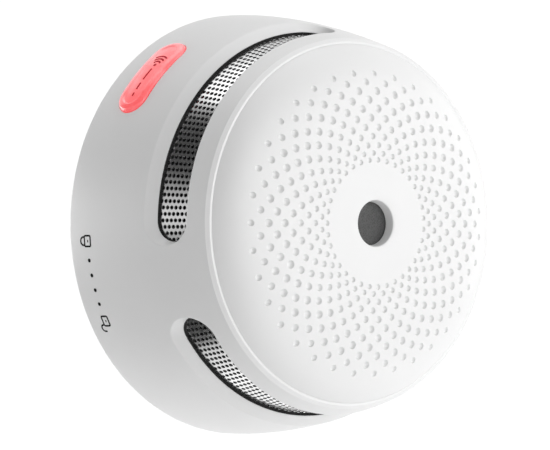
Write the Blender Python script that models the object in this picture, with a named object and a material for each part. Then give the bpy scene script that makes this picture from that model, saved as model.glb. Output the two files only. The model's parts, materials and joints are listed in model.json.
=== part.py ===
"""Compact round battery smoke alarm on its twist-lock wall bracket, as separate parts.

World frame: the origin is the centre of the bracket's back, +Z is up, +Y points into the wall.
Every part is drawn in the alarm's own frame: x to the right, y up and z the height off the wall.
The parent empty "alarm_frame" stands that frame upright, so the face looks along -Y.
Angles are in degrees, from +x towards +y, as seen by someone who looks at the face.
"""
import math

import bmesh
import bpy
from mathutils import Matrix, Vector

MM = 0.001
MERGE = 0.00001
FIT_GAP = 0.3 * MM
CUT_OVERRUN = 1.0 * MM
JOIN_OVERLAP = 0.5 * MM
SHARP_ANGLE = math.radians(32)
SMALL_SEGMENTS = 16

# Outer shell: the wall swells from the front lip to its widest at the back.
SHELL_BACK_Z = 1.2 * MM
SHELL_RADIUS = 51.0 * MM
WALL_HEIGHT = 42.3 * MM
WALL_DRAW_IN = 8.12 * MM
WALL_CURVE = 1.7
WALL_THICKNESS = 2.0 * MM
LIP_Z = SHELL_BACK_Z + WALL_HEIGHT
LIP_INNER_RADIUS = 41.7 * MM
LEDGE_INNER_RADIUS = 39.9 * MM
LEDGE_BOTTOM_Z = 40.3 * MM
LEDGE_TOP_Z = 41.6 * MM
SHELL_EDGE = 0.7 * MM
WALL_STEPS = 7
SHELL_SEGMENTS = 72
TURN_SEGMENTS = 36

# Smoke slots: three long windows, each with a scooped edge on the side nearer the wall.
SLOT_ANGLES = (17.0, 137.0, 257.0)
SLOT_SPAN = 97.0
SLOT_BACK_Z = SHELL_BACK_Z + 26.9 * MM
SLOT_FRONT_Z = SHELL_BACK_Z + 36.7 * MM
SLOT_MEAN_RADIUS = 45.5 * MM
SLOT_SCOOP_DEPTH = 1.7 * MM
SLOT_END_STEPS = 6
SLOT_SIDE_STEPS = 16

# Face: a dome that stays nearly flat and then falls away to the lip.
FACE_TOP_Z = SHELL_BACK_Z + 50.0 * MM
FACE_RADIUS = 41.4 * MM
FACE_THICKNESS = 1.8 * MM
FACE_FALL = 15.34 * MM
FACE_FALL_RADIUS = 44.15 * MM
FACE_CURVE = 5.0
FACE_STEPS = 8
FACE_SEGMENTS = 60
SOUND_PORT_RADIUS = 5.0 * MM
SOUND_PORT_DEPTH = 2.4 * MM
SOUND_PORT_ROUND = 2.2 * MM

# Insect screen: a perforated band that follows the inside of the wall.
SCREEN_INSET = 2.5 * MM
SCREEN_THICKNESS = 0.5 * MM
SCREEN_BACK_Z = 25.6 * MM
SCREEN_FRONT_Z = 39.9 * MM

# Bracket and bayonet: three hooks on the bracket hold three lugs on the rear housing.
BRACKET_RADIUS = 47.6 * MM
BRACKET_OPENING_RADIUS = 27.5 * MM
BRACKET_THICKNESS = 2.0 * MM
BRACKET_RIM_WIDTH = 1.5 * MM
BRACKET_OUTER_RIM_Z = 3.6 * MM
BRACKET_INNER_RIM_Z = 3.0 * MM
BAYONET_ANGLES = (30.0, 150.0, 270.0)
HOOK_INNER_RADIUS = 40.3 * MM
HOOK_WALL_RADIUS = 42.2 * MM
HOOK_OUTER_RADIUS = 43.6 * MM
HOOK_UNDER_Z = 4.2 * MM
HOOK_TOP_Z = 5.2 * MM
HOOK_ANGLE_LOW = -11.0
HOOK_ANGLE_HIGH = 9.0
HOOK_STOP_ANGLE = 2.4
LUG_HALF_ANGLE = 8.2
LUG_OUTER_RADIUS = 41.9 * MM
LUG_BACK_Z = 2.6 * MM
LUG_FRONT_Z = 3.9 * MM
STEM_INNER_RADIUS = 37.8 * MM
STEM_OUTER_RADIUS = 39.6 * MM
SCREW_SLOT_ANGLES = (90.0, 270.0)
SCREW_SLOT_RADIUS = 34.0 * MM
SCREW_SLOT_WIDTH = 4.0 * MM
SCREW_SLOT_LENGTH = 10.0 * MM
SCREW_HOLE_ANGLES = (0.0, 180.0)

# Rear housing: the plate that closes the back, the battery tub and the board posts.
PLATE_BACK_Z = 6.2 * MM
PLATE_FRONT_Z = 8.2 * MM
PLATE_RADIUS = 48.1 * MM
TUB_WALL = 1.6 * MM
BAY_HALF_LENGTH = 20.4 * MM
BAY_HALF_WIDTH = 9.3 * MM
BAY_FRONT_Z = 23.9 * MM
TUB_FRONT_Z = 25.4 * MM
POST_ANGLES = (75.0, 195.0, 315.0)
POST_PITCH_RADIUS = 34.0 * MM
POST_RADIUS = 3.0 * MM
BOSS_ANGLES = (77.0, 197.0, 317.0)
BOSS_PITCH_RADIUS = 45.2 * MM
BOSS_RADIUS = 2.8 * MM
BOSS_BACK_Z = PLATE_FRONT_Z + FIT_GAP
BOSS_FRONT_Z = 18.0 * MM
BOSS_WEB_HALF_WIDTH = 1.5 * MM
BOSS_BORE_CLOSE = 2.0 * MM
POST_BORE_DEPTH = 11.0 * MM
BOARD_SCREW_DEPTH = 9.0 * MM
HOUSING_SCREW_CLEAR = 3.0 * MM

# Battery, contacts and door. The cell is a CR123A.
BATTERY_RADIUS = 8.5 * MM
BATTERY_LENGTH = 34.5 * MM
BATTERY_NUB_RADIUS = 3.2 * MM
BATTERY_NUB_LENGTH = 1.0 * MM
BATTERY_AXIS_Z = 15.2 * MM
BATTERY_RIM = 0.5 * MM
CONTACT_THICKNESS = 0.4 * MM
CONTACT_HALF_WIDTH = 4.0 * MM
CONTACT_LIFT = 1.0 * MM
DOOR_BACK_Z = 4.3 * MM
DOOR_FRONT_Z = 5.9 * MM
DOOR_HALF_LENGTH = 21.4 * MM
DOOR_NECK_HALF_LENGTH = 16.9 * MM
DOOR_LOWER_Y = -10.6 * MM
DOOR_UPPER_Y = 9.4 * MM
DOOR_TONGUE_Y = -12.4 * MM
DOOR_TONGUE_HALF_WIDTH = 5.0 * MM
DOOR_HINGE_Y = 11.3 * MM
DOOR_HINGE_Z = 5.05 * MM
DOOR_BARREL_RADIUS = 0.85 * MM
DOOR_PIN_RADIUS = 0.6 * MM
DOOR_PIN_LENGTH = 1.6 * MM
DOOR_PIN_SEGMENTS = 12
DOOR_EAR_LENGTH = 2.2 * MM
DOOR_EAR_BELOW = 1.1 * MM
DOOR_EAR_ABOVE = 1.3 * MM
DOOR_BARREL_INSET = 0.05 * MM

# Circuit board and smoke chamber.
BOARD_RADIUS = 39.0 * MM
BOARD_BACK_Z = 25.7 * MM
BOARD_FRONT_Z = 27.3 * MM
CHAMBER_FLANGE_RADIUS = 42.4 * MM
CHAMBER_FLOOR_Z = 27.6 * MM
CHAMBER_DECK_Z = 29.1 * MM
CHAMBER_RIM_RADIUS = 25.4 * MM
CHAMBER_RIM_Z = 31.0 * MM
CHAMBER_RIM_WIDTH = 1.1 * MM
CHAMBER_CAP_RADIUS = 24.0 * MM
CHAMBER_LID_Z = 37.2 * MM
CHAMBER_TOP_Z = 38.6 * MM
VANE_COUNT = 18
VANE_PITCH_RADIUS = 20.6 * MM
VANE_LENGTH = 5.6 * MM
VANE_THICKNESS = 1.0 * MM
VANE_BACK_Z = 31.3 * MM
VANE_FIRST_ANGLE = 7.0
VANE_SLANT = 50.0
EYE_ANGLES = {"infrared_led": 200.0, "photodiode": 335.0}
EYE_RADIUS = 2.5 * MM
EYE_AXIS_Z = 33.6 * MM
EYE_TIP_RADIUS = 7.6 * MM
EYE_LENGTH = 8.0 * MM
HOLDER_WALL = 1.2 * MM
HOLDER_BACK = 6.4 * MM
HOLDER_FRONT = 1.6 * MM

# Parts that hang under the board: x, y and height, or radius, x, y and height.
PART_HEIGHT = 1.8 * MM
CHIP_X = (-5.0 * MM, 5.0 * MM)
CHIP_Y = (-25.5 * MM, -18.0 * MM)
COIL = (4.6 * MM, -14.5 * MM, -22.0 * MM, 9.0 * MM)
CAPACITOR = (4.0 * MM, 17.0 * MM, 21.0 * MM, 10.5 * MM)
CAN_SEGMENTS = 20
LAMP_SHIFT = 6.2 * MM
LAMP_HALF_WIDTH = 1.6 * MM
LAMP_BACK = 3.4 * MM
LAMP_FRONT = 0.6 * MM

# Sounder.
SOUNDER_RADIUS = 15.5 * MM
SOUNDER_BORE_RADIUS = 14.1 * MM
SOUNDER_BACK_Z = 38.9 * MM
SOUNDER_LEDGE_Z = 42.8 * MM
SOUNDER_FRONT_Z = 46.2 * MM
SOUNDER_FLANGE_RADIUS = 18.0 * MM
PIEZO_RADIUS = 13.6 * MM
PIEZO_CERAMIC_RADIUS = 10.0 * MM
PIEZO_THICKNESS = 0.4 * MM
PIEZO_REST = 1.2 * MM
SOUNDER_WALL = 1.2 * MM
SOUNDER_MOUTH_RADIUS = 4.0 * MM
GAUZE_RADIUS = 7.3 * MM
GAUZE_THICKNESS = 0.4 * MM

# Test button and its switch: the button slides inward along the radius at BUTTON_ANGLE.
BUTTON_ANGLE = 136.0
BUTTON_Z = SHELL_BACK_Z + 11.4 * MM
BUTTON_LENGTH = 22.7 * MM
BUTTON_WIDTH = 8.3 * MM
BUTTON_PROUD = 0.9 * MM
BUTTON_INNER_RADIUS = 46.9 * MM
BUTTON_FLANGE_LENGTH = 25.6 * MM
BUTTON_END_STEPS = 8
BUTTON_CAP_DEPTH = 3.0 * MM
BUTTON_FLANGE_DEPTHS = (3.3 * MM, 1.7 * MM)
BUTTON_FLANGE_LOW_Z = 8.6 * MM
BUTTON_FLANGE_HIGH = 3.8 * MM
BUTTON_STALK_HALF_HEIGHT = 2.0 * MM
BUTTON_STALK_JOIN = 1.4 * MM
LEG_BELOW = 2.5 * MM
LEG_INNER_RADIUS = 40.1 * MM
LEG_OUTER_RADIUS = 42.1 * MM
LEG_HALF_WIDTH = 3.0 * MM
LEG_TOP_Z = 24.6 * MM
SWITCH_INNER_RADIUS = 34.4 * MM
SWITCH_FACE_RADIUS = 38.2 * MM
SWITCH_HALF_WIDTH = 3.0 * MM
SWITCH_HEIGHT = 3.6 * MM
PLUNGER_RADIUS = 1.1 * MM
PLUNGER_TIP_RADIUS = 39.8 * MM
PLUNGER_ROOT_RADIUS = 36.6 * MM
SCREW_HEAD_RADIUS = 2.3 * MM
SCREW_HEAD_HEIGHT = 1.2 * MM
SCREW_SHANK_RADIUS = 1.1 * MM
SCREW_HOLE_RADIUS = 1.5 * MM
SCREW_CROSS_LENGTH = 2.4 * MM
SCREW_CROSS_WIDTH = 0.6 * MM
SCREW_CROSS_DEPTH = 0.6 * MM


# ---------------------------------------------------------------- helpers

def clear_scene():
    for old in list(bpy.data.objects):
        bpy.data.objects.remove(old, do_unlink=True)


def plastic(name, colour, roughness=0.45, metallic=0.0, transmission=0.0):
    finish = bpy.data.materials.new(name)
    finish.use_nodes = True
    shader = finish.node_tree.nodes["Principled BSDF"]
    shader.inputs["Base Color"].default_value = (*colour, 1.0)
    shader.inputs["Roughness"].default_value = roughness
    shader.inputs["Metallic"].default_value = metallic
    shader.inputs["Transmission Weight"].default_value = transmission
    return finish


def polar(radius, degrees):
    angle = math.radians(degrees)
    return radius * math.cos(angle), radius * math.sin(angle)


def radial_place(degrees):
    """Frame on the axis whose u runs anticlockwise round the rim, v off the wall, w outward."""
    angle = math.radians(degrees)
    around = Vector((-math.sin(angle), math.cos(angle), 0.0))
    outward = Vector((math.cos(angle), math.sin(angle), 0.0))
    return Matrix((around, Vector((0.0, 0.0, 1.0)), outward)).transposed().to_4x4()


def along_x_place(y, z):
    """Frame on a line parallel to x: w runs along x, v along z."""
    turn = Matrix((Vector((0.0, 1.0, 0.0)), Vector((0.0, 0.0, 1.0)), Vector((1.0, 0.0, 0.0))))
    return Matrix.Translation((0.0, y, z)) @ turn.transposed().to_4x4()


def make_object(name, bm, place=None):
    """Close a bmesh into a smooth-shaded object that stands in the alarm's frame."""
    if place is not None:
        bmesh.ops.transform(bm, matrix=place, verts=bm.verts)
    bmesh.ops.recalc_face_normals(bm, faces=bm.faces)
    mesh = bpy.data.meshes.new(name)
    bm.to_mesh(mesh)
    bm.free()
    mesh.shade_smooth()
    mesh.set_sharp_from_angle(angle=SHARP_ANGLE)
    made = bpy.data.objects.new(name, mesh)
    bpy.context.collection.objects.link(made)
    made.parent = bpy.data.objects["alarm_frame"]
    return made


def turned(name, profile, segments=TURN_SEGMENTS, place=None):
    """Turn a (radius, z) profile about z. A profile that starts and ends on the axis stays open."""
    bm = bmesh.new()
    points = [bm.verts.new((radius, 0.0, z)) for radius, z in profile]
    following = points[1:] if profile[0][0] == 0.0 else points[1:] + points[:1]
    chain = [bm.edges.new(pair) for pair in zip(points, following)]
    bmesh.ops.spin(bm, geom=points + chain, cent=(0, 0, 0), axis=(0, 0, 1),
                   angle=math.tau, steps=segments, use_merge=True)
    bmesh.ops.remove_doubles(bm, verts=bm.verts, dist=MERGE)
    return make_object(name, bm, place)


def rod(name, radius, z_low, z_high, segments=TURN_SEGMENTS, place=None):
    return turned(name, [(0.0, z_low), (radius, z_low), (radius, z_high), (0.0, z_high)],
                  segments, place)


def upright_rod(name, radius, x, y, z_low, z_high, segments=SMALL_SEGMENTS):
    return rod(name, radius, z_low, z_high, segments, Matrix.Translation((x, y, 0.0)))


def prism(name, outline, low, high, place=None):
    """Extrude a closed outline from low to high along the third axis of its place."""
    bm = bmesh.new()
    base = [bm.verts.new((u, v, low)) for u, v in outline]
    face = bm.faces.new(base)
    raised = bmesh.ops.extrude_face_region(bm, geom=[face])["geom"]
    tops = [item for item in raised if isinstance(item, bmesh.types.BMVert)]
    bmesh.ops.translate(bm, vec=(0.0, 0.0, high - low), verts=tops)
    return make_object(name, bm, place)


def block(name, x, y, z, place=None):
    """Box between the low and high values of each of three pairs."""
    outline = [(x[0], y[0]), (x[1], y[0]), (x[1], y[1]), (x[0], y[1])]
    return prism(name, outline, z[0], z[1], place)


def sector(name, radii, z, angles):
    """Piece of a ring between two radii, two heights and two angles."""
    steps = max(2, round((angles[1] - angles[0]) / 4))
    sweep = [angles[0] + (angles[1] - angles[0]) * i / steps for i in range(steps + 1)]
    outline = [polar(radii[1], a) for a in sweep] + [polar(radii[0], a) for a in reversed(sweep)]
    return prism(name, outline, z[0], z[1])


def stadium(length, width, end_steps):
    """Outline with round ends: (point, outward normal) pairs, u along the length."""
    radius = width / 2
    reach = length / 2 - radius
    outline = []
    for centre, start in ((reach, -90.0), (-reach, 90.0)):
        for step in range(end_steps + 1):
            across, up = polar(1.0, start + 180.0 * step / end_steps)
            outline.append(((centre + radius * across, radius * up), (across, up)))
    return outline


def combine(target, pieces, operation):
    """Give the target one Boolean with a collection of helper pieces, which the build leaves out."""
    helpers = bpy.data.collections.new(f"{target.name}_{operation.lower()}")
    bpy.context.scene.collection.children.link(helpers)
    for piece in pieces:
        bpy.context.collection.objects.unlink(piece)
        helpers.objects.link(piece)
        piece.hide_render = True
        piece.display_type = "WIRE"
    boolean = target.modifiers.new(operation.title(), "BOOLEAN")
    boolean.operation = operation
    boolean.operand_type = "COLLECTION"
    boolean.collection = helpers
    boolean.solver = "EXACT"


def finish_part(made, finish):
    made.data.materials.clear()
    made.data.materials.append(finish)
    return made


# ---------------------------------------------------------------- shapes that parts share

def wall_radius(z):
    """Outer radius of the shell at a height off the wall."""
    share = min(max((z - SHELL_BACK_Z) / WALL_HEIGHT, 0.0), 1.0)
    return SHELL_RADIUS - WALL_DRAW_IN * share ** WALL_CURVE


def face_height(radius):
    """Height of the face at a radius."""
    share = (radius / FACE_FALL_RADIUS) ** FACE_CURVE
    return FACE_TOP_Z - FACE_FALL * (1.0 - math.sqrt(1.0 - share))


def face_slope(radius):
    """How fast the face falls per unit of radius."""
    share = (radius / FACE_FALL_RADIUS) ** FACE_CURVE
    return FACE_FALL * FACE_CURVE * share / (2.0 * radius * math.sqrt(1.0 - share))


def spread(low, high, count):
    return [low + (high - low) * i / count for i in range(count + 1)]


def slot_edge():
    """Front half of the slot's outline: (round the rim, off the mid line, and the outward normal)."""
    half_width = (SLOT_FRONT_Z - SLOT_BACK_Z) / 2
    reach = math.radians(SLOT_SPAN) * SLOT_MEAN_RADIUS / 2 - half_width
    edge = []
    for side, start in ((-1.0, 180.0), (1.0, 90.0)):
        for turn in spread(start, start - 90.0, SLOT_END_STEPS):
            nu, nv = polar(1.0, turn)
            edge.append((side * reach + half_width * nu, half_width * nv, nu, nv))
        if side < 0.0:
            edge += [(u, half_width, 0.0, 1.0) for u in spread(-reach, reach, SLOT_SIDE_STEPS)[1:-1]]
    return edge


def slot_cutter(name, centre):
    """Cutter for one slot: straight through the wall, then flared at 45 degrees on the wall side."""
    bm = bmesh.new()
    mid_z = (SLOT_FRONT_Z + SLOT_BACK_Z) / 2
    inner = wall_radius(SLOT_FRONT_Z) - 2 * WALL_THICKNESS
    outer = wall_radius(SLOT_BACK_Z) + WALL_THICKNESS
    front = slot_edge()
    back = [(u, -v, nu, -nv) for u, v, nu, nv in front[1:-1]]
    loops = []
    for station in ("inner", "neck", "outer"):
        loop = []
        for u, v, nu, nv in front + back[::-1]:
            neck = wall_radius(mid_z + v) - SLOT_SCOOP_DEPTH
            radius = {"inner": inner, "neck": neck, "outer": outer}[station]
            flare = ((1.0 - nv) / 2) ** 1.5 * max(radius - neck, 0.0)
            turn = centre + math.degrees((u + flare * nu) / SLOT_MEAN_RADIUS)
            loop.append(bm.verts.new((*polar(radius, turn), mid_z + v + flare * nv)))
        loops.append(loop)
    count = len(loops[0])
    for low, high in zip(loops, loops[1:]):
        for i in range(count):
            j = (i + 1) % count
            bm.faces.new((low[i], low[j], high[j], high[i]))
    for loop in (loops[0], loops[-1]):
        for i in range(len(front) - 1):
            corners = [loop[i], loop[i + 1], loop[count - i - 1], loop[(count - i) % count]]
            bm.faces.new(list(dict.fromkeys(corners)))
    return make_object(name, bm)


def screw(name, x, y, head_z, tip_z, finish):
    """Cross-head screw; the head is on the side of head_z that faces away from the tip."""
    way = 1.0 if head_z > tip_z else -1.0
    crown = head_z + way * SCREW_HEAD_HEIGHT
    profile = [(0.0, tip_z), (SCREW_SHANK_RADIUS * 0.5, tip_z),
               (SCREW_SHANK_RADIUS, tip_z + way * SCREW_SHANK_RADIUS), (SCREW_SHANK_RADIUS, head_z),
               (SCREW_HEAD_RADIUS, head_z),
               (SCREW_HEAD_RADIUS * 0.93, head_z + way * 0.6 * SCREW_HEAD_HEIGHT),
               (SCREW_HEAD_RADIUS * 0.7, crown), (0.0, crown)]
    made = turned(name, profile, SMALL_SEGMENTS, Matrix.Translation((x, y, 0.0)))
    floor = crown - way * SCREW_CROSS_DEPTH
    past = crown + way * CUT_OVERRUN
    depth = (min(floor, past), max(floor, past))
    half_length = SCREW_CROSS_LENGTH / 2
    half_width = SCREW_CROSS_WIDTH / 2
    cross = [(-half_length, -half_width), (-half_width, -half_width), (-half_width, -half_length),
             (half_width, -half_length), (half_width, -half_width), (half_length, -half_width),
             (half_length, half_width), (half_width, half_width), (half_width, half_length),
             (-half_width, half_length), (-half_width, half_width), (-half_length, half_width)]
    recess = prism(f"{name}_recess", cross, *depth, Matrix.Translation((x, y, 0.0)))
    combine(made, [recess], "DIFFERENCE")
    return finish_part(made, finish)


# ---------------------------------------------------------------- bracket

def mounting_bracket(finish):
    rim_in = BRACKET_RADIUS - BRACKET_RIM_WIDTH
    lip_out = BRACKET_OPENING_RADIUS + BRACKET_RIM_WIDTH
    made = turned("mounting_bracket", [
        (BRACKET_OPENING_RADIUS, 0.0), (BRACKET_RADIUS, 0.0), (BRACKET_RADIUS, BRACKET_OUTER_RIM_Z),
        (rim_in, BRACKET_OUTER_RIM_Z), (rim_in, BRACKET_THICKNESS), (lip_out, BRACKET_THICKNESS),
        (lip_out, BRACKET_INNER_RIM_Z), (BRACKET_OPENING_RADIUS, BRACKET_INNER_RIM_Z)], SHELL_SEGMENTS)
    sunk = BRACKET_THICKNESS / 2
    hooks = []
    for number, angle in enumerate(BAYONET_ANGLES, 1):
        low, high = angle + HOOK_ANGLE_LOW, angle + HOOK_ANGLE_HIGH
        hooks.append(sector(f"hook_wall_{number}", (HOOK_WALL_RADIUS, HOOK_OUTER_RADIUS),
                            (sunk, HOOK_TOP_Z), (low, high)))
        hooks.append(sector(f"hook_flange_{number}", (HOOK_INNER_RADIUS, HOOK_WALL_RADIUS + JOIN_OVERLAP),
                            (HOOK_UNDER_Z, HOOK_TOP_Z), (low, high)))
        hooks.append(sector(f"hook_stop_{number}", (HOOK_INNER_RADIUS, HOOK_WALL_RADIUS + JOIN_OVERLAP),
                            (sunk, HOOK_UNDER_Z + JOIN_OVERLAP), (low, low + HOOK_STOP_ANGLE)))
    combine(made, hooks, "UNION")
    holes = []
    reach = math.degrees((SCREW_SLOT_LENGTH - SCREW_SLOT_WIDTH) / 2 / SCREW_SLOT_RADIUS)
    for number, angle in enumerate(SCREW_SLOT_ANGLES, 1):
        outline = []
        for side, start in ((1.0, angle + reach), (-1.0, angle - reach)):
            middle = Vector(polar(SCREW_SLOT_RADIUS, start))
            for turn in spread(-90.0, 90.0, 6):
                outline.append(middle + Vector(polar(SCREW_SLOT_WIDTH / 2, start + side * 90 + turn)))
        holes.append(prism(f"screw_slot_{number}", outline, -CUT_OVERRUN, BRACKET_THICKNESS + CUT_OVERRUN))
    for number, angle in enumerate(SCREW_HOLE_ANGLES, 1):
        holes.append(upright_rod(f"screw_hole_{number}", SCREW_SLOT_WIDTH / 2,
                                 *polar(SCREW_SLOT_RADIUS, angle), -CUT_OVERRUN,
                                 BRACKET_THICKNESS + CUT_OVERRUN))
    combine(made, holes, "DIFFERENCE")
    return finish_part(made, finish)


# ---------------------------------------------------------------- casing

def side_shell(finish):
    edge = SHELL_EDGE
    outside = [(wall_radius(z), z) for z in spread(SHELL_BACK_Z + edge, LIP_Z - edge / 2, WALL_STEPS)]
    inside = [(wall_radius(z) - WALL_THICKNESS, z) for z in spread(SHELL_BACK_Z, LEDGE_BOTTOM_Z, WALL_STEPS)]
    profile = [(SHELL_RADIUS - edge, SHELL_BACK_Z)] + outside
    profile += [(wall_radius(LIP_Z) - edge / 2, LIP_Z), (LIP_INNER_RADIUS, LIP_Z),
                (LIP_INNER_RADIUS, LEDGE_TOP_Z), (LEDGE_INNER_RADIUS, LEDGE_TOP_Z),
                (LEDGE_INNER_RADIUS, LEDGE_BOTTOM_Z)]
    profile += list(reversed(inside))
    made = turned("side_shell", profile, SHELL_SEGMENTS)
    bosses = []
    for number, angle in enumerate(BOSS_ANGLES, 1):
        bosses.append(upright_rod(f"shell_boss_{number}", BOSS_RADIUS, *polar(BOSS_PITCH_RADIUS, angle),
                                  BOSS_BACK_Z, BOSS_FRONT_Z))
        web_reach = wall_radius(BOSS_FRONT_Z) - WALL_THICKNESS / 2
        bosses.append(block(f"shell_boss_web_{number}", (-BOSS_WEB_HALF_WIDTH, BOSS_WEB_HALF_WIDTH),
                            (BOSS_BACK_Z, BOSS_FRONT_Z), (BOSS_PITCH_RADIUS, web_reach),
                            radial_place(angle)))
    combine(made, bosses, "UNION")
    cutters = [slot_cutter(f"slot_cutter_{number}", angle) for number, angle in enumerate(SLOT_ANGLES, 1)]
    opening = [point for point, _ in stadium(BUTTON_LENGTH + 2 * FIT_GAP, BUTTON_WIDTH + 2 * FIT_GAP,
                                             BUTTON_END_STEPS)]
    place = radial_place(BUTTON_ANGLE) @ Matrix.Translation((0.0, BUTTON_Z, 0.0))
    cutters.append(prism("button_opening", opening, BUTTON_INNER_RADIUS - BUTTON_CAP_DEPTH,
                         SHELL_RADIUS + CUT_OVERRUN, place))
    for number, angle in enumerate(BOSS_ANGLES, 1):
        cutters.append(upright_rod(f"boss_bore_{number}", SCREW_HOLE_RADIUS,
                                   *polar(BOSS_PITCH_RADIUS, angle), BOSS_BACK_Z - CUT_OVERRUN,
                                   BOSS_FRONT_Z - BOSS_BORE_CLOSE))
    combine(made, cutters, "DIFFERENCE")
    return finish_part(made, finish)


def face_cover(finish):
    port_top = SOUND_PORT_RADIUS + SOUND_PORT_ROUND
    rounding = []
    for turn in spread(90.0, 180.0, 4)[1:]:
        along, up = polar(SOUND_PORT_ROUND, turn)
        rounding.append((port_top + along, face_height(port_top) - SOUND_PORT_ROUND * 0.6 + 0.6 * up))
    radii = [FACE_RADIUS * share for share in
             (math.sin(math.radians(a)) for a in spread(10.0, 90.0, FACE_STEPS))]
    radii[0] = port_top
    dome = [(radius, face_height(radius)) for radius in reversed(radii)]
    under = []
    for radius in radii[1:]:
        tilt = math.atan(face_slope(radius))
        under.append((radius - FACE_THICKNESS * math.sin(tilt),
                      face_height(radius) - FACE_THICKNESS * math.cos(tilt)))
    collar_z = FACE_TOP_Z - SOUND_PORT_DEPTH
    collar_out = SOUND_PORT_RADIUS + FACE_THICKNESS
    skirt_z = LEDGE_TOP_Z + FIT_GAP
    profile = [(FACE_RADIUS, skirt_z)] + dome + rounding
    profile += [(SOUND_PORT_RADIUS, collar_z), (collar_out, collar_z),
                (collar_out, FACE_TOP_Z - FACE_THICKNESS)]
    profile += under + [(under[-1][0], skirt_z)]
    return finish_part(turned("face_cover", profile, FACE_SEGMENTS), finish)


def rear_housing(finish):
    made = turned("rear_housing", [
        (0.0, PLATE_BACK_Z), (STEM_INNER_RADIUS, PLATE_BACK_Z), (STEM_INNER_RADIUS, LUG_BACK_Z),
        (STEM_OUTER_RADIUS, LUG_BACK_Z), (STEM_OUTER_RADIUS, PLATE_BACK_Z),
        (PLATE_RADIUS, PLATE_BACK_Z), (PLATE_RADIUS, PLATE_FRONT_Z), (0.0, PLATE_FRONT_Z)],
        SHELL_SEGMENTS)
    sunk = PLATE_FRONT_Z - 2 * JOIN_OVERLAP
    tub_x = BAY_HALF_LENGTH + TUB_WALL
    tub_y = BAY_HALF_WIDTH + TUB_WALL
    additions = [block("tub", (-tub_x, tub_x), (-tub_y, tub_y), (sunk, TUB_FRONT_Z))]
    for number, angle in enumerate(BAYONET_ANGLES, 1):
        additions.append(sector(f"lug_{number}", (STEM_INNER_RADIUS + JOIN_OVERLAP, LUG_OUTER_RADIUS),
                                (LUG_BACK_Z + 0.02 * MM, LUG_FRONT_Z),
                                (angle - LUG_HALF_ANGLE, angle + LUG_HALF_ANGLE)))
    for number, angle in enumerate(POST_ANGLES, 1):
        additions.append(upright_rod(f"post_{number}", POST_RADIUS, *polar(POST_PITCH_RADIUS, angle),
                                     sunk, TUB_FRONT_Z))
    ear_low = DOOR_NECK_HALF_LENGTH + 2 * FIT_GAP
    ear_high = ear_low + DOOR_EAR_LENGTH
    for side in (-1, 1):
        x_pair = tuple(sorted((side * ear_low, side * ear_high)))
        additions.append(block(f"door_ear_{side}", x_pair,
                               (DOOR_HINGE_Y - DOOR_EAR_BELOW, DOOR_HINGE_Y + DOOR_EAR_ABOVE),
                               (DOOR_HINGE_Z - DOOR_EAR_BELOW, PLATE_BACK_Z + JOIN_OVERLAP)))
    combine(made, additions, "UNION")
    bay = block("battery_bay", (-BAY_HALF_LENGTH, BAY_HALF_LENGTH), (-BAY_HALF_WIDTH, BAY_HALF_WIDTH),
                (PLATE_BACK_Z - CUT_OVERRUN, BAY_FRONT_Z))
    cuts = [bay]
    cuts.append(rod("door_pin_bore", DOOR_PIN_RADIUS + FIT_GAP, -ear_high - CUT_OVERRUN,
                    ear_high + CUT_OVERRUN, DOOR_PIN_SEGMENTS, along_x_place(DOOR_HINGE_Y, DOOR_HINGE_Z)))
    for number, angle in enumerate(POST_ANGLES, 1):
        cuts.append(upright_rod(f"post_bore_{number}", SCREW_HOLE_RADIUS, *polar(POST_PITCH_RADIUS, angle),
                                TUB_FRONT_Z - POST_BORE_DEPTH, TUB_FRONT_Z + CUT_OVERRUN))
    for number, angle in enumerate(BOSS_ANGLES, 1):
        cuts.append(upright_rod(f"plate_hole_{number}", SCREW_HOLE_RADIUS, *polar(BOSS_PITCH_RADIUS, angle),
                                PLATE_BACK_Z - CUT_OVERRUN, PLATE_FRONT_Z + CUT_OVERRUN))
    combine(made, cuts, "DIFFERENCE")
    return finish_part(made, finish)


def insect_screen(finish):
    levels = spread(SCREEN_BACK_Z, SCREEN_FRONT_Z, 2)
    outside = [(wall_radius(z) - SCREEN_INSET, z) for z in levels]
    inside = [(radius - SCREEN_THICKNESS, z) for radius, z in reversed(outside)]
    return finish_part(turned("insect_screen", outside + inside, SHELL_SEGMENTS), finish)


# ---------------------------------------------------------------- smoke chamber

def eye_place(angle):
    """Frame on the sight line of the emitter or the receiver: w points to the chamber's centre."""
    raised = Matrix.Translation((0.0, 0.0, EYE_AXIS_Z))
    return raised @ radial_place(angle) @ Matrix.Rotation(math.pi, 4, "Y")


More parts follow.
